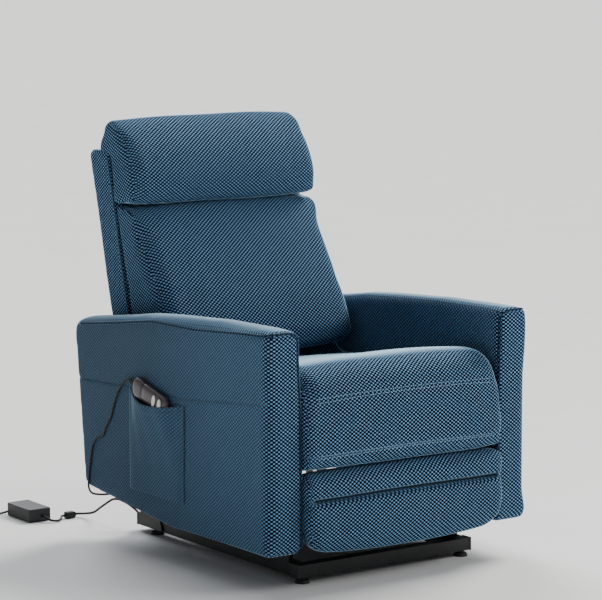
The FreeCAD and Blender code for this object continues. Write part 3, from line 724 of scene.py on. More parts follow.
def stitches(name, path, sdf, body, pitch=0.0075, length=0.0050, r=0.0009, mat="thread", lift=0.0006):
    """A row of separate thread stitches lying along a path on a surface."""
    p, g = land(resample(path, pitch), sdf, 4, lift)
    vs, fs = [], []
    for i in range(len(p) - 1):
        t = p[i + 1] - p[i]
        L = np.linalg.norm(t)
        if L < 1e-6:
            continue
        t /= L
        s = np.cross(t, g[i])
        s /= np.linalg.norm(s)
        base = len(vs)
        for k, (f, w, hgt) in enumerate(((0, 0.35, -0.6), (0.18, 0.9, 0.1), (0.5, 1.0, 0.4), (0.82, 0.9, 0.1), (1, 0.35, -0.6))):
            m = p[i] + t * f * length + g[i] * hgt * r
            for q in range(5):
                a = 2 * math.pi * q / 5
                vs.append(m + r * w * (math.cos(a) * s + math.sin(a) * g[i]))
        for k in range(4):
            for q in range(5):
                z = (q + 1) % 5
                fs.append([base + k * 5 + q, base + k * 5 + z, base + (k + 1) * 5 + z, base + (k + 1) * 5 + q])
    o = new_obj(name, vs, fs, mat)
    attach(o, body)
    return o


def piping(name, path, sdf, body, r=0.0035, lift=0.0012, step=0.008, sides=8, mat="welt_painted_shade"):
    p, _ = land(resample(path, step), sdf, 5, lift)
    for _ in range(3):
        p[1:-1] = 0.5 * p[1:-1] + 0.25 * (p[:-2] + p[2:])
    o = tube(name, p, r, mat, sides=sides, body=body)
    return o


MAT["thread"] = metal("stitch_thread", srgb(140, 174, 200), 0.8, 0.0, 200, 0.0002, 0.2)
# painted shade: a darker copy of the stitch thread, used on the arms' outer sides and the pocket
MAT["thread_painted_shade"] = metal("stitch_thread_painted_shade", srgb(72, 102, 126), 0.8, 0.0, 200, 0.0002, 0.2)
V = 0.007

# ------------------------------------------------------------------ seat cushion
seat_outline = [
    (-0.424, 0.372), (-0.425, 0.295), (-0.434, 0.2815), (-0.450, 0.2815), (-0.466, 0.2875), (-0.4755, 0.301), (-0.4795, 0.326), (-0.480, 0.385), (-0.474, 0.447),
    (-0.458, 0.490), (-0.430, 0.513), (-0.390, 0.522), (-0.300, 0.514), (-0.150, 0.484), (0.040, 0.452), (0.120, 0.441),
    (0.138, 0.430), (0.140, 0.400), (0.136, 0.374), (0.0, 0.370), (-0.2, 0.370), (-0.4, 0.370),
]


def seat_carve(p):
    x, y, z = p.T
    front = sstep(-y, 0.430, 0.455)
    line = 0.317 + 0.002 * np.cos(x * 9)
    d = 0.0032 * gauss(z - line, 0.0045) * front
    d += 0.0016 * gauss(z - (0.4535 - 0.006 * (x / 0.25) ** 2), 0.0035) * sstep(-y, 0.44, 0.462)
    # the sides are pulled in towards their lower stitched ends
    d += 0.003 * sstep(np.abs(x), 0.22, 0.283) * sstep(0.34 - z, 0.0, 0.06) * front
    # one shallow drag line where the top turns down
    d += 0.0016 * gauss(z - (0.470 - 0.03 * x), 0.012) * sstep(-y, 0.44, 0.462) * sstep(0.24 - np.abs(x - 0.03), 0.0, 0.12)
    return d


def seat_r(p):
    x, y, z = p.T
    return 0.008 + 0.012 * sstep(z, 0.29, 0.33) + 0.024 * sstep(z, 0.40, 0.49) - 0.012 * sstep(y, 0.02, 0.12)


seat, seat_poly, seat_sdf = cushion("seat_cover", seat_outline, 0.2885, seat_r, V, 0.008, carve=seat_carve, seed=3, lumps=0.0012, crown_z=(0.30, 0.40))
# painted shade along the seat's front topstitch seam
weave_cushion(seat, seat_poly, 0.2885, 0.028, seam_shade=lambda c: 0.35 * gauss(c[:, 2] - 0.317 - 0.002 * np.cos(c[:, 0] * 9), 0.003) * (c[:, 1] < -0.44))
done(seat, "chair", "fabric_blue", "seat_cushion")
for k, dz in enumerate((0.0036, -0.0036)):
    xs = np.linspace(-0.262, 0.262, 90)
    stitches("seat_topstitch_%d" % (k + 1), [(x, -0.476, 0.317 + 0.002 * math.cos(x * 9) + dz) for x in xs], seat_sdf, "chair")

for k, dz in enumerate((0.0034, -0.0034)):
    xs = np.linspace(-0.262, 0.262, 90)
    stitches("seat_crest_stitch_%d" % (k + 1), [(x, -0.474, 0.4535 - 0.006 * (x / 0.25) ** 2 + dz) for x in xs], seat_sdf, "chair")

# black cloth that wraps the front edge of the seat frame
ly = [(-0.4212, 0.336), (-0.4214, 0.318), (-0.4212, 0.304), (-0.4196, 0.2985), (-0.4140, 0.2972), (-0.4000, 0.2974), (-0.3850, 0.2984)]
lv, lf = [], []
for layer in (0, 1):
    for i, (y, z) in enumerate(ly):
        for k in range(57):
            x = -0.281 + 0.562 * k / 56
            sag = 0.0004 * math.sin(k * 0.9) * (i in (3, 4, 5))
            lv.append((x, y + 0.0009 * layer * (i < 3), z + 0.0009 * layer * (i >= 3) - sag))
m_l = len(ly) * 57
for i in range(len(ly) - 1):
    for k in range(56):
        a = i * 57 + k
        lf.append([a, a + 1, a + 58, a + 57])
        lf.append([m_l + a, m_l + a + 57, m_l + a + 58, m_l + a + 1])
for k in range(56):
    lf.append([k, m_l + k, m_l + k + 1, k + 1])
    a = (len(ly) - 1) * 57 + k
    lf.append([a, a + 1, m_l + a + 1, m_l + a])
for i in range(len(ly) - 1):
    a = i * 57
    lf.append([a, a + 57, m_l + a + 57, m_l + a])
    a = i * 57 + 56
    lf.append([a, m_l + a, m_l + a + 57, a + 57])
liner = new_obj("seat_front_lining", lv, lf, "lining")
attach(liner, "chair")

# ------------------------------------------------------------------ footrest pad
pad_yz = fillet([(-0.421, 0.079), (-0.421, 0.277), (-0.452, 0.2785), (-0.473, 0.2705), (-0.4835, 0.256), (-0.487, 0.2), (-0.487, 0.12), (-0.475, 0.082), (-0.446, 0.070)], 0.012)
pad_xz = catmull(
    [(0, 0.072), (0.12, 0.0735), (0.195, 0.078), (0.243, 0.088), (0.271, 0.110), (0.282, 0.146), (0.285, 0.2), (0.285, 0.25), (0.281, 0.272), (0.26, 0.2795),
     (0, 0.280), (-0.26, 0.2795), (-0.281, 0.272), (-0.285, 0.25), (-0.285, 0.2), (-0.282, 0.146), (-0.271, 0.110), (-0.243, 0.088), (-0.195, 0.078), (-0.12, 0.0735)],
    5,
)


def pad_base(p):
    x, y, z = p.T
    a, _ = poly_near(p[:, 1:3] + np.stack([np.zeros(len(p)), -0.010 * (x / 0.276) ** 2 * sstep(0.16 - z, 0, 0.08)], 1), pad_yz)
    b, _ = poly_near(p[:, [0, 2]], pad_xz)
    return rounded_and(a + 0.003 * (x / 0.276) ** 4, b, 0.018 - 0.013 * sstep(z, 0.24, 0.272)) - wrinkle(p, 0.0009, 18.0, 8)


def pad_carve(p):
    x, y, z = p.T
    front = sstep(-y, 0.440, 0.462)
    ends = sstep(0.2855 - np.abs(x), 0.0, 0.022)
    line = 0.215 + 0.0015 * np.cos(x * 11)
    d = 0.020 * gauss(z - line, 0.0068) * front * ends
    # each channel swells between its seams
    d = d - 0.0050 * gauss(z - 0.247, 0.020) * front - 0.0055 * gauss(z - 0.155, 0.05) * front
    # short gathers running out of the ends of the seam
    for s in (-1, 1):
        d = d + 0.0018 * gauss((z - 0.215) + 0.35 * (s * x - 0.24), 0.006) * gauss(s * x - 0.24, 0.016) * front * ends
    return d


vs, fs = prism(fillet([(-0.421, 0.072), (-0.421, 0.279), (-0.487, 0.279), (-0.487, 0.072)], 0.01), -0.284, 0.284, 0)
pad = remeshed("footrest_cover", vs, fs, V * 0.72, "fabric")
settle(pad, pad_base, 7)
relax(pad, 1, 0.3)
refine(pad)
press(pad, pad_carve)
pad_arc = catmull([(-0.421, 0.079), (-0.421, 0.277), (-0.452, 0.2785), (-0.473, 0.2705), (-0.4835, 0.256), (-0.487, 0.2), (-0.487, 0.12), (-0.475, 0.082), (-0.446, 0.070)], 5)
# painted shade along the footrest's sewn groove, fading out at the ends
weave_cushion(pad, pad_arc, 0.284, 0.018, seam_shade=lambda c: 1.5 * gauss(c[:, 2] - 0.215 - 0.0015 * np.cos(c[:, 0] * 11), 0.0045) * (c[:, 1] < -0.43) * sstep(0.284 - np.abs(c[:, 0]), 0.0, 0.014))
done(pad, "footrest", "fabric_blue", "footrest_pad")

# ------------------------------------------------------------------ back: shell, cushion, pillow
plane = lambda z: 0.280 + (z - 0.450) * (0.125 / 0.525)
PN = np.array([-0.525, 0.125]) / math.hypot(0.525, 0.125)  # out of the front of the back, in Y-Z
shell_outline = fillet(
    [(0.262, 0.336), (plane(0.45) + 0.001, 0.45), (plane(0.962) + 0.001, 0.966), (0.486, 0.966), (0.497, 0.952), (0.398, 0.550), (0.316, 0.338)],
    [0.006, 0.02, 0.012, 0.02, 0.02, 0.08, 0.012],
)


def shell_extra(p):
    x, y, z = p.T
    # slight hollow across the back panel
    return 0.004 * np.cos(np.clip(x / 0.286, -1, 1) * math.pi / 2) * sstep(y - plane(z), 0.03, 0.06)


shell, shell_poly, shell_sdf = cushion("shell_cover", shell_outline, 0.286, lambda p: 0.005 + 0.009 * sstep(p[:, 1] - plane(p[:, 2]), 0.04, 0.08), V * 1.3, 0.001, carve=shell_extra, seed=5, lumps=0.0006, smooth=0)
corner_weave(
    shell,
    (
        lambda c, n: np.where(np.abs(n[:, 0]) > 0.72, 1, 0),
        [lambda c: (c[:, 0], poly_near(c[:, 1:3], shell_poly)[1]), lambda c: (c[:, 1], c[:, 2])],
    ),
)
done(shell, "backrest", "fabric_blue", "back_shell")
for s, side in ((1, "left"), (-1, "right")):
    zs = np.linspace(0.47, 0.945, 60)
    piping("shell_piping_" + side, [(s * 0.286, plane(z) + 0.003, z) for z in zs], shell_sdf, "backrest", r=0.0026, lift=0.0012, mat="welt_shell")

# cloth flap that closes the back below the shell
flap = catmull([(0.3345, 0.258), (0.3352, 0.272), (0.3380, 0.290), (0.3410, 0.305), (0.3405, 0.320), (0.3365, 0.333), (0.3310, 0.345), (0.3300, 0.360)], 4, closed=False)
farc = np.concatenate([[0], np.cumsum(np.linalg.norm(np.diff(flap, axis=0), axis=1))])
gv, gf, gu, gw = [], [], [], []
n_f, n_g = len(flap), 71
for layer in (0, 1):
    for i, (y, z) in enumerate(flap):
        mid_ = math.sin(math.pi * i / (n_f - 1))
        for k in range(n_g):
            x = -0.277 + 0.554 * k / (n_g - 1)
            gv.append((x, y - 0.0016 * layer + 0.0016 * mid_ * math.sin(k * 0.42 + i * 0.1), z))
            gu.append(x)
            gw.append(farc[i])
m_g = n_f * n_g
for i in range(n_f - 1):
    for k in range(n_g - 1):
        a = i * n_g + k
        gf.append([a, a + n_g, a + n_g + 1, a + 1])
        gf.append([m_g + a, m_g + a + 1, m_g + a + n_g + 1, m_g + a + n_g])
for k in range(n_g - 1):
    gf.append([k, k + 1, m_g + k + 1, m_g + k])
    a = (n_f - 1) * n_g + k
    gf.append([a, m_g + a, m_g + a + 1, a + 1])
for i in range(n_f - 1):
    a = i * n_g
    gf.append([a, m_g + a, m_g + a + n_g, a + n_g])
    a = i * n_g + n_g - 1
    gf.append([a, a + n_g, m_g + a + n_g, m_g + a])
flap_o = new_obj("back_flap", gv, gf, "fabric")
set_weave(flap_o, np.array(gu), np.array(gw))
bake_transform(flap_o)

back_outline = [
    (plane(0.46) + 0.001, 0.460), (0.20, 0.458), (0.128, 0.462), (0.103, 0.478), (0.097, 0.508), (0.112, 0.550), (0.138, 0.600), (0.168, 0.650), (0.198, 0.700),
    (0.238, 0.765), (0.266, 0.803), (0.283, 0.821), (0.309, 0.8325), (0.332, 0.8345), (plane(0.8335) + 0.001, 0.8335), (plane(0.7), 0.7), (plane(0.58), 0.58),
]


def back_carve(p):
    x, y, z = p.T
    d = 0.0015 * gauss(z - 0.60 - 0.10 * np.abs(x), 0.02) * sstep(np.abs(x), 0.15, 0.27)
    # small gathers along the seam under the headrest
    for k in range(-9, 10):
        d += 0.0009 * gauss(x - k * 0.029 - 0.004 * math.sin(k * 2.1), 0.006) * sstep(z, 0.775, 0.82)
    return d


def back_r(p):
    q = plane(p[:, 2]) - p[:, 1]
    return (0.006 + 0.042 * sstep(q, 0.02, 0.10)) * (1 - 0.74 * sstep(p[:, 2], 0.76, 0.815))


back, back_poly, back_sdf = cushion("back_cover", back_outline, 0.284, back_r, V * 1.1, 0.010, carve=back_carve, seed=11, lumps=0.0016)
weave_cushion(back, back_poly, 0.284, 0.045, depth_of=slope_chart)
done(back, "backrest", "fabric_blue", "back_cushion")

# fabric tongue that closes the gap between the seat and the back
tongue = catmull([(0.100, 0.430), (0.128, 0.434), (0.155, 0.430), (0.182, 0.436), (0.206, 0.452), (0.226, 0.463)], 6, closed=False)
tv, tf, tu, tw = [], [], [], []
arc = np.concatenate([[0], np.cumsum(np.linalg.norm(np.diff(tongue, axis=0), axis=1))])
n_t, n_x = len(tongue), 61
for layer in (0, 1):
    for i, (y, z) in enumerate(tongue):
        for k in range(n_x):
            x = -0.283 + 0.566 * k / (n_x - 1)
            dip = 0.002 * math.sin(k * 0.55) * math.sin(math.pi * i / (n_t - 1))
            tv.append((x, y, z + dip - 0.003 * layer))
            tu.append(x)
            tw.append(arc[i])
m_t = n_t * n_x
for i in range(n_t - 1):
    for k in range(n_x - 1):
        a = i * n_x + k
        tf.append([a, a + 1, a + n_x + 1, a + n_x])
        tf.append([m_t + a, m_t + a + n_x, m_t + a + n_x + 1, m_t + a + 1])
for k in range(n_x - 1):
    tf.append([k, m_t + k, m_t + k + 1, k + 1])
    a = (n_t - 1) * n_x + k
    tf.append([a, a + 1, m_t + a + 1, m_t + a])
for i in range(n_t - 1):
    a = i * n_x
    tf.append([a, a + n_x, m_t + a + n_x, m_t + a])
    a = i * n_x + n_x - 1
    tf.append([a, m_t + a, m_t + a + n_x, a + n_x])
tong = new_obj("seat_back_tongue", tv, tf, "fabric")
set_weave(tong, np.array(tu), np.array(tw))
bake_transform(tong)

pillow_outline = [
    (plane(0.8345) + 0.001, 0.8345), (0.335, 0.8335), (0.302, 0.834), (0.281, 0.846), (0.270, 0.875), (0.271, 0.905), (0.288, 0.950), (0.310, 0.985), (0.338, 1.014),
    (0.374, 1.039), (0.408, 1.048), (0.434, 1.034), (0.446, 1.010), (0.449, 0.985), (0.450, 0.965), (0.446, 0.9555), (0.43, 0.953), (plane(0.953) + 0.002, 0.953), (plane(0.90), 0.90),
]


def pillow_carve(p):
    x, y, z = p.T
    d = np.zeros(len(p))
    for k in range(-9, 10):
        d += 0.0010 * gauss(x - k * 0.030 + 0.005 * math.sin(k * 1.7), 0.006) * sstep(0.875 - z, 0.0, 0.03)
    return d


def pillow_r(p):
    z = p[:, 2]
    away = np.maximum(plane(z) - p[:, 1], z - 0.975)
    r = 0.005 + 0.035 * sstep(away, 0.004, 0.050)
    r = r * (1 - 0.48 * sstep(0.872 - z, 0.0, 0.032))
    return r - np.maximum(r - 0.021, 0) * sstep(z, 0.985, 1.03)


pillow, pillow_poly, pillow_sdf = cushion("pillow_cover", pillow_outline, 0.285, pillow_r, V * 1.1, 0.006, carve=pillow_carve, seed=17, lumps=0.0014)
weave_cushion(pillow, pillow_poly, 0.285, 0.04, depth_of=slope_chart)
done(pillow, "backrest", "fabric_blue", "headrest_pillow")

# ------------------------------------------------------------------ arms
arm_outline = fillet(
    [(-0.442, 0.089), (-0.4525, 0.110), (-0.4525, 0.604), (-0.440, 0.6125), (-0.397, 0.6145), (-0.200, 0.6125), (0.110, 0.590), (0.394, 0.551), (0.409, 0.537), (0.366, 0.136), (0.345, 0.125), (-0.020, 0.088)],
    [0.006, 0.012, 0.018, 0.02, 0.05, 0.1, 0.1, 0.02, 0.02, 0.015, 0.02, 0.05],
)
OUT_Z = ([-0.45, -0.424, -0.145, 0.039, 0.291, 0.393], [0.606, 0.607, 0.586, 0.584, 0.549, 0.536])
CROWN = ([-0.45, -0.397, -0.2, 0.11, 0.385], [0.612, 0.6145, 0.6115, 0.590, 0.551])
SEAM_Z = ([-0.45, -0.423, -0.10, 0.143, 0.391], [0.448, 0.446, 0.412, 0.410, 0.398])
MID = 0.3385


def arm_sdf(p):
    """The left arm at +X; the right one is its mirror image."""
    x, y, z = np.abs(p[:, 0]), p[:, 1], p[:, 2]
    top = sstep(z, 0.42, 0.56)
    out = np.clip((x - 0.340) / 0.045, 0, 1)
    inn = np.clip((0.334 - x) / 0.042, 0, 1)
    drop = (np.interp(y, *CROWN) - np.interp(y, *OUT_Z)) * out**2.2 + 0.004 * inn**2
    d2, _ = poly_near(np.stack([y, z + drop * top], 1), arm_outline)
    front = sstep(-y, 0.33, 0.42)
    # radius of the long edges: crisp where there is piping, soft elsewhere
    r_out = (1 - top) * (0.010 + 0.022 * front) + top * (0.007 + 0.012 * front)
    r_in = (1 - top) * (0.012 - 0.003 * front) + top * 0.020
    foot = sstep(0.17 - z, 0.0, 0.07)
    r_out = r_out - np.maximum(r_out - 0.012, 0) * foot
    r_in = r_in - np.maximum(r_in - 0.006, 0) * foot
    w = sstep(x, MID - 0.008, MID + 0.008)
    r = r_in * (1 - w) + r_out * w
    half = 0.0465 + 0.0012 * np.sin(np.clip((z - 0.1) / 0.5, 0, 1) * math.pi)
    lean = 0.0025 * sstep(z, 0.15, 0.56)
    d = rounded_and(d2, np.abs(x - MID - lean) - half + lean, r)
    side = sstep(x, 0.372, 0.382)
    # the cover is drawn in by its staples along the lower edge, and by the outer top seam
    k = np.sin(y * 61.0) * np.sin(y * 23.0 + 1.3)
    d = d + 0.0010 * (1 + k) * gauss(z - np.interp(y, *OUT_Z) + 0.012, 0.010) * side
    d = d - wrinkle(p * np.array([0, 1, 1]) + np.array([0, 0.1, 0]), 0.0011, 14.0, 23)
    return d


def arm_base(sign):
    vs, fs = prism(arm_outline, sign * 0.291 if sign > 0 else -0.386, 0.386 if sign > 0 else -0.291, 0)
    return vs, fs


OUTLINE_ARC = arm_outline


def arm_charts(sign):
    flat = 0.385 - 0.03

    def pick(c, n):
        x, z, y = np.abs(c[:, 0]), c[:, 2], c[:, 1]
        above = z > np.interp(y, *OUT_Z) - 0.002
        top = (n[:, 2] > 0.55) & (z > 0.5) | (above & (x > 0.34))
        inner = ((n[:, 0] * sign < -0.6) | ((x < 0.302) & (y > -0.44))) & ~top
        rear = (n[:, 1] > 0.62) & (y > 0.28) & ~top
        under = (n[:, 2] < -0.62) & ~top
        return np.where(top, 1, np.where(rear, 3, np.where(under, 4, np.where(inner, 2, 0))))

    def outer(c):
        x, y = np.abs(c[:, 0]), c[:, 1]
        # unrolls the rounded vertical corner between the side and the front
        cx, cy, r = 0.385 - 0.032, -0.4525 + 0.032, 0.032
        th = np.arctan2(np.maximum(cy - y, 0), np.maximum(x - cx, 1e-6))
        th = np.where(y > cy, 0, np.where(x < cx, math.pi / 2, th))
        u = np.where(y > cy, y, cy - r * th - np.where(x < cx, cx - x, 0))
        return u, c[:, 2]

    def topmap(c):
        _, arc = poly_near(c[:, 1:3], OUTLINE_ARC)
        return np.abs(c[:, 0]) * 1.0, arc

    return pick, [
        outer,
        topmap,
        lambda c: (c[:, 1], c[:, 2]),
        lambda c: (0.385 + 0.405 - np.abs(c[:, 0]), c[:, 2]),
        lambda c: (np.abs(c[:, 0]), c[:, 1]),
    ]


# painted shade along the arm's outer side seam
def arm_seam_shade(c):
    return 0.55 * gauss(c[:, 2] - np.interp(c[:, 1], *SEAM_Z), 0.0026) * (np.abs(c[:, 0]) > 0.378)


for sign, side in ((1, "left"), (-1, "right")):
    vs, fs = arm_base(sign)
    arm = remeshed("arm_wrap_" + side, vs, fs, V * 1.15, "fabric")
    settle(arm, arm_sdf, 6)
    relax(arm, 1, 0.3)
    refine(arm)
    press(arm, lambda p: 0.0018 * gauss(p[:, 2] - np.interp(p[:, 1], *SEAM_Z), 0.0035) * (np.abs(p[:, 0]) > 0.376))
    corner_weave(arm, arm_charts(sign), arm_seam_shade)
    # painted shade: darkens the outer sides (more towards the rear), the inner faces and the tops above the outer seam
    set_painted_shade(arm, lambda c: np.maximum(sstep(np.abs(c[:, 0]), 0.372, 0.383) * (0.55 + 0.45 * sstep(c[:, 1], -0.36, 0.10)) * sstep(c[:, 1], -0.442, -0.405), np.maximum(0.45 * sstep(0.318 - np.abs(c[:, 0]), 0.0, 0.012) * sstep(c[:, 1], -0.44, -0.40), 0.58 * sstep(c[:, 2] - np.interp(c[:, 1], *OUT_Z), 0.0, 0.006) * sstep(c[:, 1], -0.43, -0.36))))
    done(arm, "chair", "fabric_blue", "arm_cover_" + side)
    ys = np.linspace(0.378, -0.415, 90)
    path = [(sign * 0.3845, y, np.interp(y, *OUT_Z) - 0.001) for y in ys]
    path += [(sign * 0.380, -0.437, 0.606), (sign * 0.366, -0.4475, 0.6075), (sign * 0.34, -0.4485, 0.6085), (sign * 0.315, -0.4485, 0.6075), (sign * 0.301, -0.4495, 0.602)]
    path += [(sign * 0.2935, -0.4505, z) for z in np.linspace(0.588, 0.104, 60)]
    piping("arm_piping_" + side, path, arm_sdf, "chair", r=0.0034, lift=0.0012)
    # topstitch just below the side seam
    st = [(sign * 0.386, y, np.interp(y, *SEAM_Z) - 0.0048) for y in np.linspace(0.372, -0.42, 110)]
    if sign < 0:
        st = [q for q in st if not (-0.104 < q[1] < 0.144)]
        cutat = [i for i, q in enumerate(st) if q[1] < 0][0]
        stitches("arm_topstitch_right_rear", st[:cutat], arm_sdf, "chair", mat="thread_painted_shade")
        stitches("arm_topstitch_right_front", st[cutat:], arm_sdf, "chair", mat="thread_painted_shade")
    else:
        stitches("arm_topstitch_left", st, arm_sdf, "chair", mat="thread_painted_shade")

# ------------------------------------------------------------------ handset pocket on the right arm
PX = -0.3853


def lip(y):
    """Height of the pocket's mouth: it sags where the handset rests."""
    t = (0.142 - y) / 0.244
    return 0.405 - 0.021 * math.sin(math.pi * min(1, max(0, t)) ** 0.85) - 0.012 * t


nu, nv = 61, 57
vs, us, ws, pocket_seam_shade = [], [], [], []
for j in range(nv):
    t = j / (nv - 1)
    for i in range(nu):
        s = i / (nu - 1)
        y = 0.142 - 0.244 * s
        z = 0.157 + (lip(y) - 0.157) * t
        edge = min(1, s / 0.10) * min(1, (1 - s) / 0.10)
        edge = edge * edge * (3 - 2 * edge)
        body = 0.0035 * edge * (0.35 + 0.65 * math.sin(math.pi * min(1, t * 0.9 + 0.05)))
        hand = 0.0270 * math.exp(-((abs(y - 0.020) / 0.087) ** 4)) * edge * max(0, (t - 0.34) / 0.66) ** 1.3
        slack = 0.0010 * math.sin(22 * s + 5 * t) * edge * t
        vs.append((PX - 0.0012 - body - hand - slack, y, z))
        us.append(y)
        ws.append(z)
        # painted shade at the pocket's sewn mouth and its two sewn ends
        pocket_seam_shade.append(0.45 * math.exp(-((t - 0.965) / 0.010) ** 2) + 0.4 * (s < 0.012 or s > 0.988))
n0 = len(vs)
# the mouth is hemmed: the cloth rolls over and returns inside
for k, (dx, dz) in enumerate(((0.0002, 0.0012), (0.0018, 0.0018), (0.0032, 0.0002), (0.0034, -0.012))):
    for i in range(nu):
        x, y, z = vs[(nv - 1) * nu + i]
        vs.append((min(x + dx, PX + 0.004), y, z + dz))
        us.append(y)
        ws.append(z + 0.002 * (k + 1))
        # painted shade on the rolled hem inside the mouth
        pocket_seam_shade.append(0.25)
fs = []
for j in range(nv - 1 + 4):
    for i in range(nu - 1):
        a, b = j * nu + i, j * nu + i + 1
        fs.append([a, a + nu, b + nu, b])
pocket = new_obj("pocket_cover", vs, fs, "fabric")
set_weave(pocket, np.array(us), np.array(ws), np.array(pocket_seam_shade))
sol = pocket.modifiers.new("thick", "SOLIDIFY")
sol.thickness = 0.0016
sol.offset = -1
# painted shade: the pocket cloth is darkened throughout, a little more towards its rear end
set_painted_shade(pocket, lambda c: 0.80 + 0.15 * sstep(c[:, 1], -0.05, 0.1))
done(pocket, "chair", "fabric_blue", "handset_pocket")


def pocket_sdf(p):
    """Height above the pocket cloth, read from the grid itself."""
    y, z = p[:, 1], p[:, 2]
    s = np.clip((0.142 - y) / 0.244, 0, 1)
    top = np.array([lip(q) for q in y])
    t = np.clip((z - 0.157) / (top - 0.157), 0, 1)
    g = np.array(vs[:n0])[:, 0].reshape(nv, nu)
    fi, fj = s * (nu - 1), t * (nv - 1)
    i0, j0 = np.minimum(fi.astype(int), nu - 2), np.minimum(fj.astype(int), nv - 2)
    a, b = fi - i0, fj - j0
    x = (g[j0, i0] * (1 - a) + g[j0, i0 + 1] * a) * (1 - b) + (g[j0 + 1, i0] * (1 - a) + g[j0 + 1, i0 + 1] * a) * b
    return x - p[:, 0]


for nm, yy in (("rear", 0.139), ("front", -0.099)):
    stitches("pocket_stitch_" + nm, [(PX - 0.003, yy, z) for z in np.linspace(0.165, lip(yy) - 0.004, 50)], pocket_sdf, "chair", mat="thread_painted_shade")
stitches("pocket_stitch_hem", [(PX - 0.003, y, lip(y) - 0.009) for y in np.linspace(0.136, -0.096, 50)], pocket_sdf, "chair", mat="thread_painted_shade")
stitches("pocket_stitch_base", [(PX - 0.003, y, 0.160) for y in np.linspace(0.136, -0.096, 50)], pocket_sdf, "chair", mat="thread_painted_shade")

# ------------------------------------------------------------------ handset
HO = np.array([0.084, 0.416])
HD = np.array([-0.970, -0.242])
HN = np.array([-0.242, 0.970])


def hand_at(u, w, x):
    q = HO + HD * u + HN * w
    return (x, q[0], q[1])


def loft(name, rings, mat, cap=True):
    vs, fs = [], []
    m = len(rings[0])
    for r in rings:
        vs += list(r)
    for i in range(len(rings) - 1):
        for k in range(m):
            q = (k + 1) % m
            fs.append([i * m + k, i * m + q, (i + 1) * m + q, (i + 1) * m + k])
    if cap:
        fs.append(list(range(m))[::-1])
        fs.append([len(vs) - m + k for k in range(m)])
    return new_obj(name, vs, fs, mat)


def case_ring(u, grow=0.0, m=36, x0=-0.3975):
    """Cross-section of the handset at a distance u along it."""
    end = 0.0 if 0 < u < 0.118 else ((0 - u) / 0.019 if u <= 0 else (u - 0.118) / 0.017)
    k = math.sqrt(max(0.0, 1 - min(1, end) ** 2))
    half = (0.0255 - 0.004 * max(0, u) / 0.134 - 0.0012 * math.sin(math.pi * min(1, max(0, u / 0.12)))) * (0.15 + 0.85 * k) + grow
    thick = (0.0108 - 0.0022 * max(0, u) / 0.134) * (0.2 + 0.8 * k) + grow
    ring = []
    for i in range(m):
        a = 2 * math.pi * i / m
        ca, sa = math.cos(a), math.sin(a)
        w = half * math.copysign(abs(ca) ** 0.72, ca)
        x = x0 + thick * math.copysign(abs(sa) ** 0.80, sa)
        ring.append(hand_at(u, w, x))
    return ring


us_ = [-0.0188, -0.0180, -0.0162, -0.013, -0.009, -0.004, 0.002, 0.012, 0.0245]
case_a = loft("handset_shell_rear", [case_ring(u) for u in us_], "case")
case_m = loft("handset_band", [case_ring(u, -0.0007) for u in (0.0235, 0.0265, 0.0295, 0.0325)], "case_dark")
us_ = [0.0315, 0.045, 0.06, 0.075, 0.09, 0.105, 0.115, 0.122, 0.128, 0.132, 0.1345]
case_b = loft("handset_shell_front", [case_ring(u) for u in us_], "case")
for o in (case_a, case_m, case_b):
    b = o.modifiers.new("edge", "BEVEL")
    b.width, b.segments, b.limit_method, b.angle_limit = 0.0008, 2, "ANGLE", math.radians(45)
    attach(o, "handset")
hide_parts("handset_case")


def pad_button(name, u, body, node):
    """An oval push button with a raised, slightly dished face."""
    rings = []
    for sc, h in ((1.0, -0.0036), (1.0, 0.0013), (0.97, 0.0021), (0.88, 0.0027), (0.66, 0.0026), (0.33, 0.0024), (0.04, 0.0023)):
        ring = []
        for i in range(32):
            a = 2 * math.pi * i / 32
            ring.append(hand_at(u + 0.0065 * sc * math.copysign(abs(math.cos(a)) ** 0.85, math.cos(a)), 0.0145 * sc * math.copysign(abs(math.sin(a)) ** 0.85, math.sin(a)), -0.4068 - h))
        rings.append(ring)
    o = loft(name, rings, "button")
    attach(o, body)
    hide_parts(node)
    return o


pad_button("button_up_cap", 0.0856, "button_up", "handset_button_up")
pad_button("button_down_cap", 0.1105, "button_down", "handset_button_down")
for nm, u in (("up", 0.0856), ("down", 0.1105)):
    rings = []
    for gu, gw, h in ((0.0074, 0.0154, -0.002), (0.0085, 0.0165, 0.0002), (0.0082, 0.0162, 0.0008), (0.0070, 0.0150, 0.0008), (0.0068, 0.0148, -0.002)):
        rings.append([hand_at(u + gu * math.cos(2 * math.pi * i / 32), gw * math.sin(2 * math.pi * i / 32), -0.4066 - h) for i in range(32)])
    o = loft("button_bezel_" + nm, rings, "case_dark", cap=False)
    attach(o, "handset")

# rubber strain relief: a short ribbed cone at the rear end
relief = []
for k in range(15):
    t = k / 14
    rr = 0.0062 - 0.0028 * t + (0.0007 if k % 2 else 0.0)
    c = np.array([-0.3975, *(HO + HD * (-0.016 - 0.026 * t))])
    c[2] += 0.004 * t * t
    relief.append([(c[0] + rr * math.cos(a), c[1] + rr * math.sin(a) * HN[0], c[2] + rr * math.sin(a) * HN[1]) for a in np.linspace(0, 2 * math.pi, 16, endpoint=False)])
o = loft("handset_relief", relief, "rubber")
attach(o, "handset")

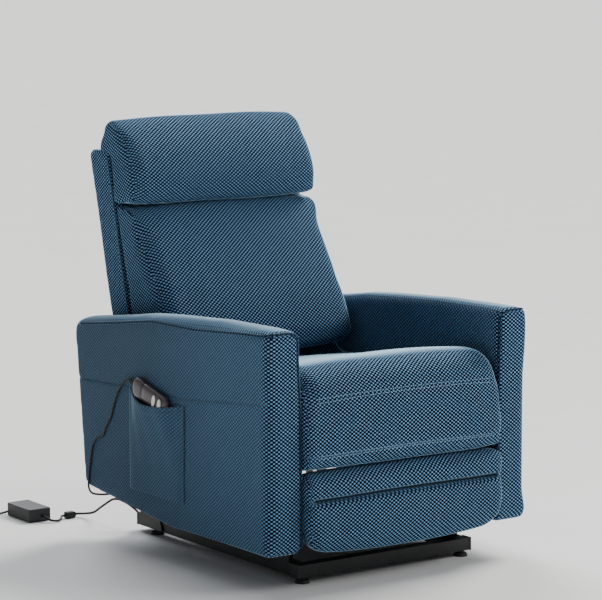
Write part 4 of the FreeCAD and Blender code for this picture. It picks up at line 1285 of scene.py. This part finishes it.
cable_pts = [
    (-0.3975, 0.118, 0.4275), (-0.3965, 0.130, 0.4300), (-0.3955, 0.148, 0.4235), (-0.3935, 0.164, 0.4130), (-0.3920, 0.180, 0.400), (-0.3910, 0.197, 0.378), (-0.3905, 0.212, 0.350),
    (-0.3898, 0.226, 0.322), (-0.3896, 0.244, 0.300), (-0.3896, 0.257, 0.282), (-0.3896, 0.262, 0.270), (-0.3896, 0.275, 0.262), (-0.3896, 0.295, 0.256), (-0.3896, 0.312, 0.240),
    (-0.3896, 0.322, 0.214), (-0.3896, 0.330, 0.180), (-0.3890, 0.337, 0.148), (-0.387, 0.341, 0.122), (-0.379, 0.340, 0.108), (-0.360, 0.332, 0.103), (-0.330, 0.316, 0.104),
    (-0.305, 0.299, 0.106), (-0.288, 0.284, 0.110), (-0.274, 0.270, 0.118),
]
cab = tube("handset_cord", catmull(cable_pts, 5, closed=False), 0.0026, "rubber", sides=10)
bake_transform(cab)
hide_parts("handset_cable")

# ------------------------------------------------------------------ rear dust panel of the seat
lo, hi = (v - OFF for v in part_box("rear_panel"))
nu2, nv2 = 41, 21
vs2, us2, ws2 = [], [], []
for j in range(nv2):
    for i in range(nu2):
        s, t = i / (nu2 - 1), j / (nv2 - 1)
        x = lo.x + 0.002 + (hi.x - lo.x - 0.004) * s
        z = lo.z + 0.002 + (hi.z - 0.030 - lo.z - 0.002) * t
        e = min(1, s / 0.04, (1 - s) / 0.04, t / 0.08, (1 - t) / 0.08)
        y = hi.y - 0.0015 - 0.002 * (1 - e) - 0.0012 * math.sin(s * 19 + t * 3) * e * math.sin(math.pi * t)
        vs2.append((x, y, z))
        us2.append(x)
        ws2.append(z)
nb = len(vs2)
vs2 += [(x, lo.y + 0.002, z) for x, y, z in vs2]
us2, ws2 = us2 * 2, ws2 * 2
fs2 = []
for j in range(nv2 - 1):
    for i in range(nu2 - 1):
        a = j * nu2 + i
        fs2.append([a, a + nu2, a + nu2 + 1, a + 1])
        fs2.append([nb + a, nb + a + 1, nb + a + nu2 + 1, nb + a + nu2])
for i in range(nu2 - 1):
    fs2.append([i, i + 1, nb + i + 1, nb + i])
    a = (nv2 - 1) * nu2 + i
    fs2.append([a + 1, a, nb + a, nb + a + 1])
for j in range(nv2 - 1):
    a = j * nu2
    fs2.append([a + nu2, a, nb + a, nb + a + nu2])
    a = j * nu2 + nu2 - 1
    fs2.append([a, a + nu2, nb + a + nu2, nb + a])
rp = new_obj("rear_panel_cover", vs2, fs2, "fabric")
set_weave(rp, np.array(us2), np.array(ws2))
done(rp, "chair", "lining", "rear_panel")

# small plated bolt on the inner face of each front post
for s_, nm in ((1, "left"), (-1, "right")):
    rings = []
    for rr, d in ((0.0062, 0.0), (0.0062, 0.0012), (0.0048, 0.0016), (0.0048, 0.0046), (0.0040, 0.0052), (0.0004, 0.0053)):
        m = 24
        ring = []
        for k in range(m):
            a = 2 * math.pi * k / m
            q = rr * (1.0 if rr > 0.0055 or rr < 0.001 else 0.93 / max(abs(math.cos(((a + math.pi / 6) % (math.pi / 3)) - math.pi / 6)), 0.6))
            ring.append((s_ * 0.2475 + q * math.cos(a), -0.3452 - d, 0.074 + q * math.sin(a)))
        rings.append(ring)
    o = loft("post_bolt_" + nm, rings, "steel_zinc")
    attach(o, "base")

# ------------------------------------------------------------------ stage, light and camera
fl = new_obj("floor", [(-60, -60, 0), (60, -60, 0), (60, 60, 0), (-60, 60, 0)], [[0, 1, 2, 3]], None, smooth=False)
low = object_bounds()[0][2]
fl.location.z = min(0.0, low)
fm = Tree("floor_pale")
nn = fm.noise(fm.obj(), 3.0, 5.0, 0.6)
fm.t.links.new(fm.mix(nn, (0.82, 0.805, 0.785), (0.90, 0.885, 0.865)), fm.b.inputs["Base Color"])
fm.b.inputs["Roughness"].default_value = 0.85
fm.bump(fm.noise(fm.obj(), 380.0, 3.0), 0.001, 0.35)
fl.data.materials.append(fm.m)


def area(name, loc, target, size, power, color=(1, 1, 1)):
    l = bpy.data.lights.new(name, "AREA")
    l.shape = "RECTANGLE"
    l.size, l.size_y = size
    l.energy = power
    l.color = color
    o = bpy.data.objects.new(name, l)
    COL.objects.link(o)
    o.location = loc
    o.rotation_euler = (Vector(target) - Vector(loc)).to_track_quat("-Z", "Y").to_euler()
    return o


def sun(name, toward, power, spread, color):
    l = bpy.data.lights.new(name, "SUN")
    l.energy = power
    l.angle = math.radians(spread)
    l.color = color
    o = bpy.data.objects.new(name, l)
    COL.objects.link(o)
    o.rotation_euler = (-Vector(toward)).to_track_quat("-Z", "Y").to_euler()
    return o


sun("window_right", (0.74, 0.22, 0.72), 3.8, 26, (1.0, 0.985, 0.96))
sun("sky_back", (0.22, 0.80, 0.70), 2.4, 34, (0.93, 0.97, 1.0))
area("front_fill", (3.4, -3.4, 3.2), (0, 0, 0.6), (2.4, 1.8), 112, (1.0, 1.0, 1.0))
w = bpy.data.worlds.new("studio")
bpy.context.scene.world = w
w.use_nodes = True
bg = w.node_tree.nodes["Background"]
bg.inputs[0].default_value = (0.84, 0.87, 0.90, 1)
bg.inputs[1].default_value = 0.30

cam = bpy.data.cameras.new("photo_view")
cam.lens = 161.5
cam.sensor_width = 36
cam.clip_start = 0.1
co = bpy.data.objects.new("photo_view", cam)
COL.objects.link(co)
co.location = (-3.834, -5.421, 1.535)
co.rotation_euler = (Vector((0.028, 0, 0.606)) - co.location).to_track_quat("-Z", "Y").to_euler()
bpy.context.scene.camera = co

for o in list(bpy.context.scene.objects):
    if o.type == "MESH" and "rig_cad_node" not in o:
        o.data.transform(Matrix.Translation(OFF))
        o.data.update()
    elif o.type in ("LIGHT", "CAMERA"):
        o.location += OFF
bpy.context.view_layer.update()
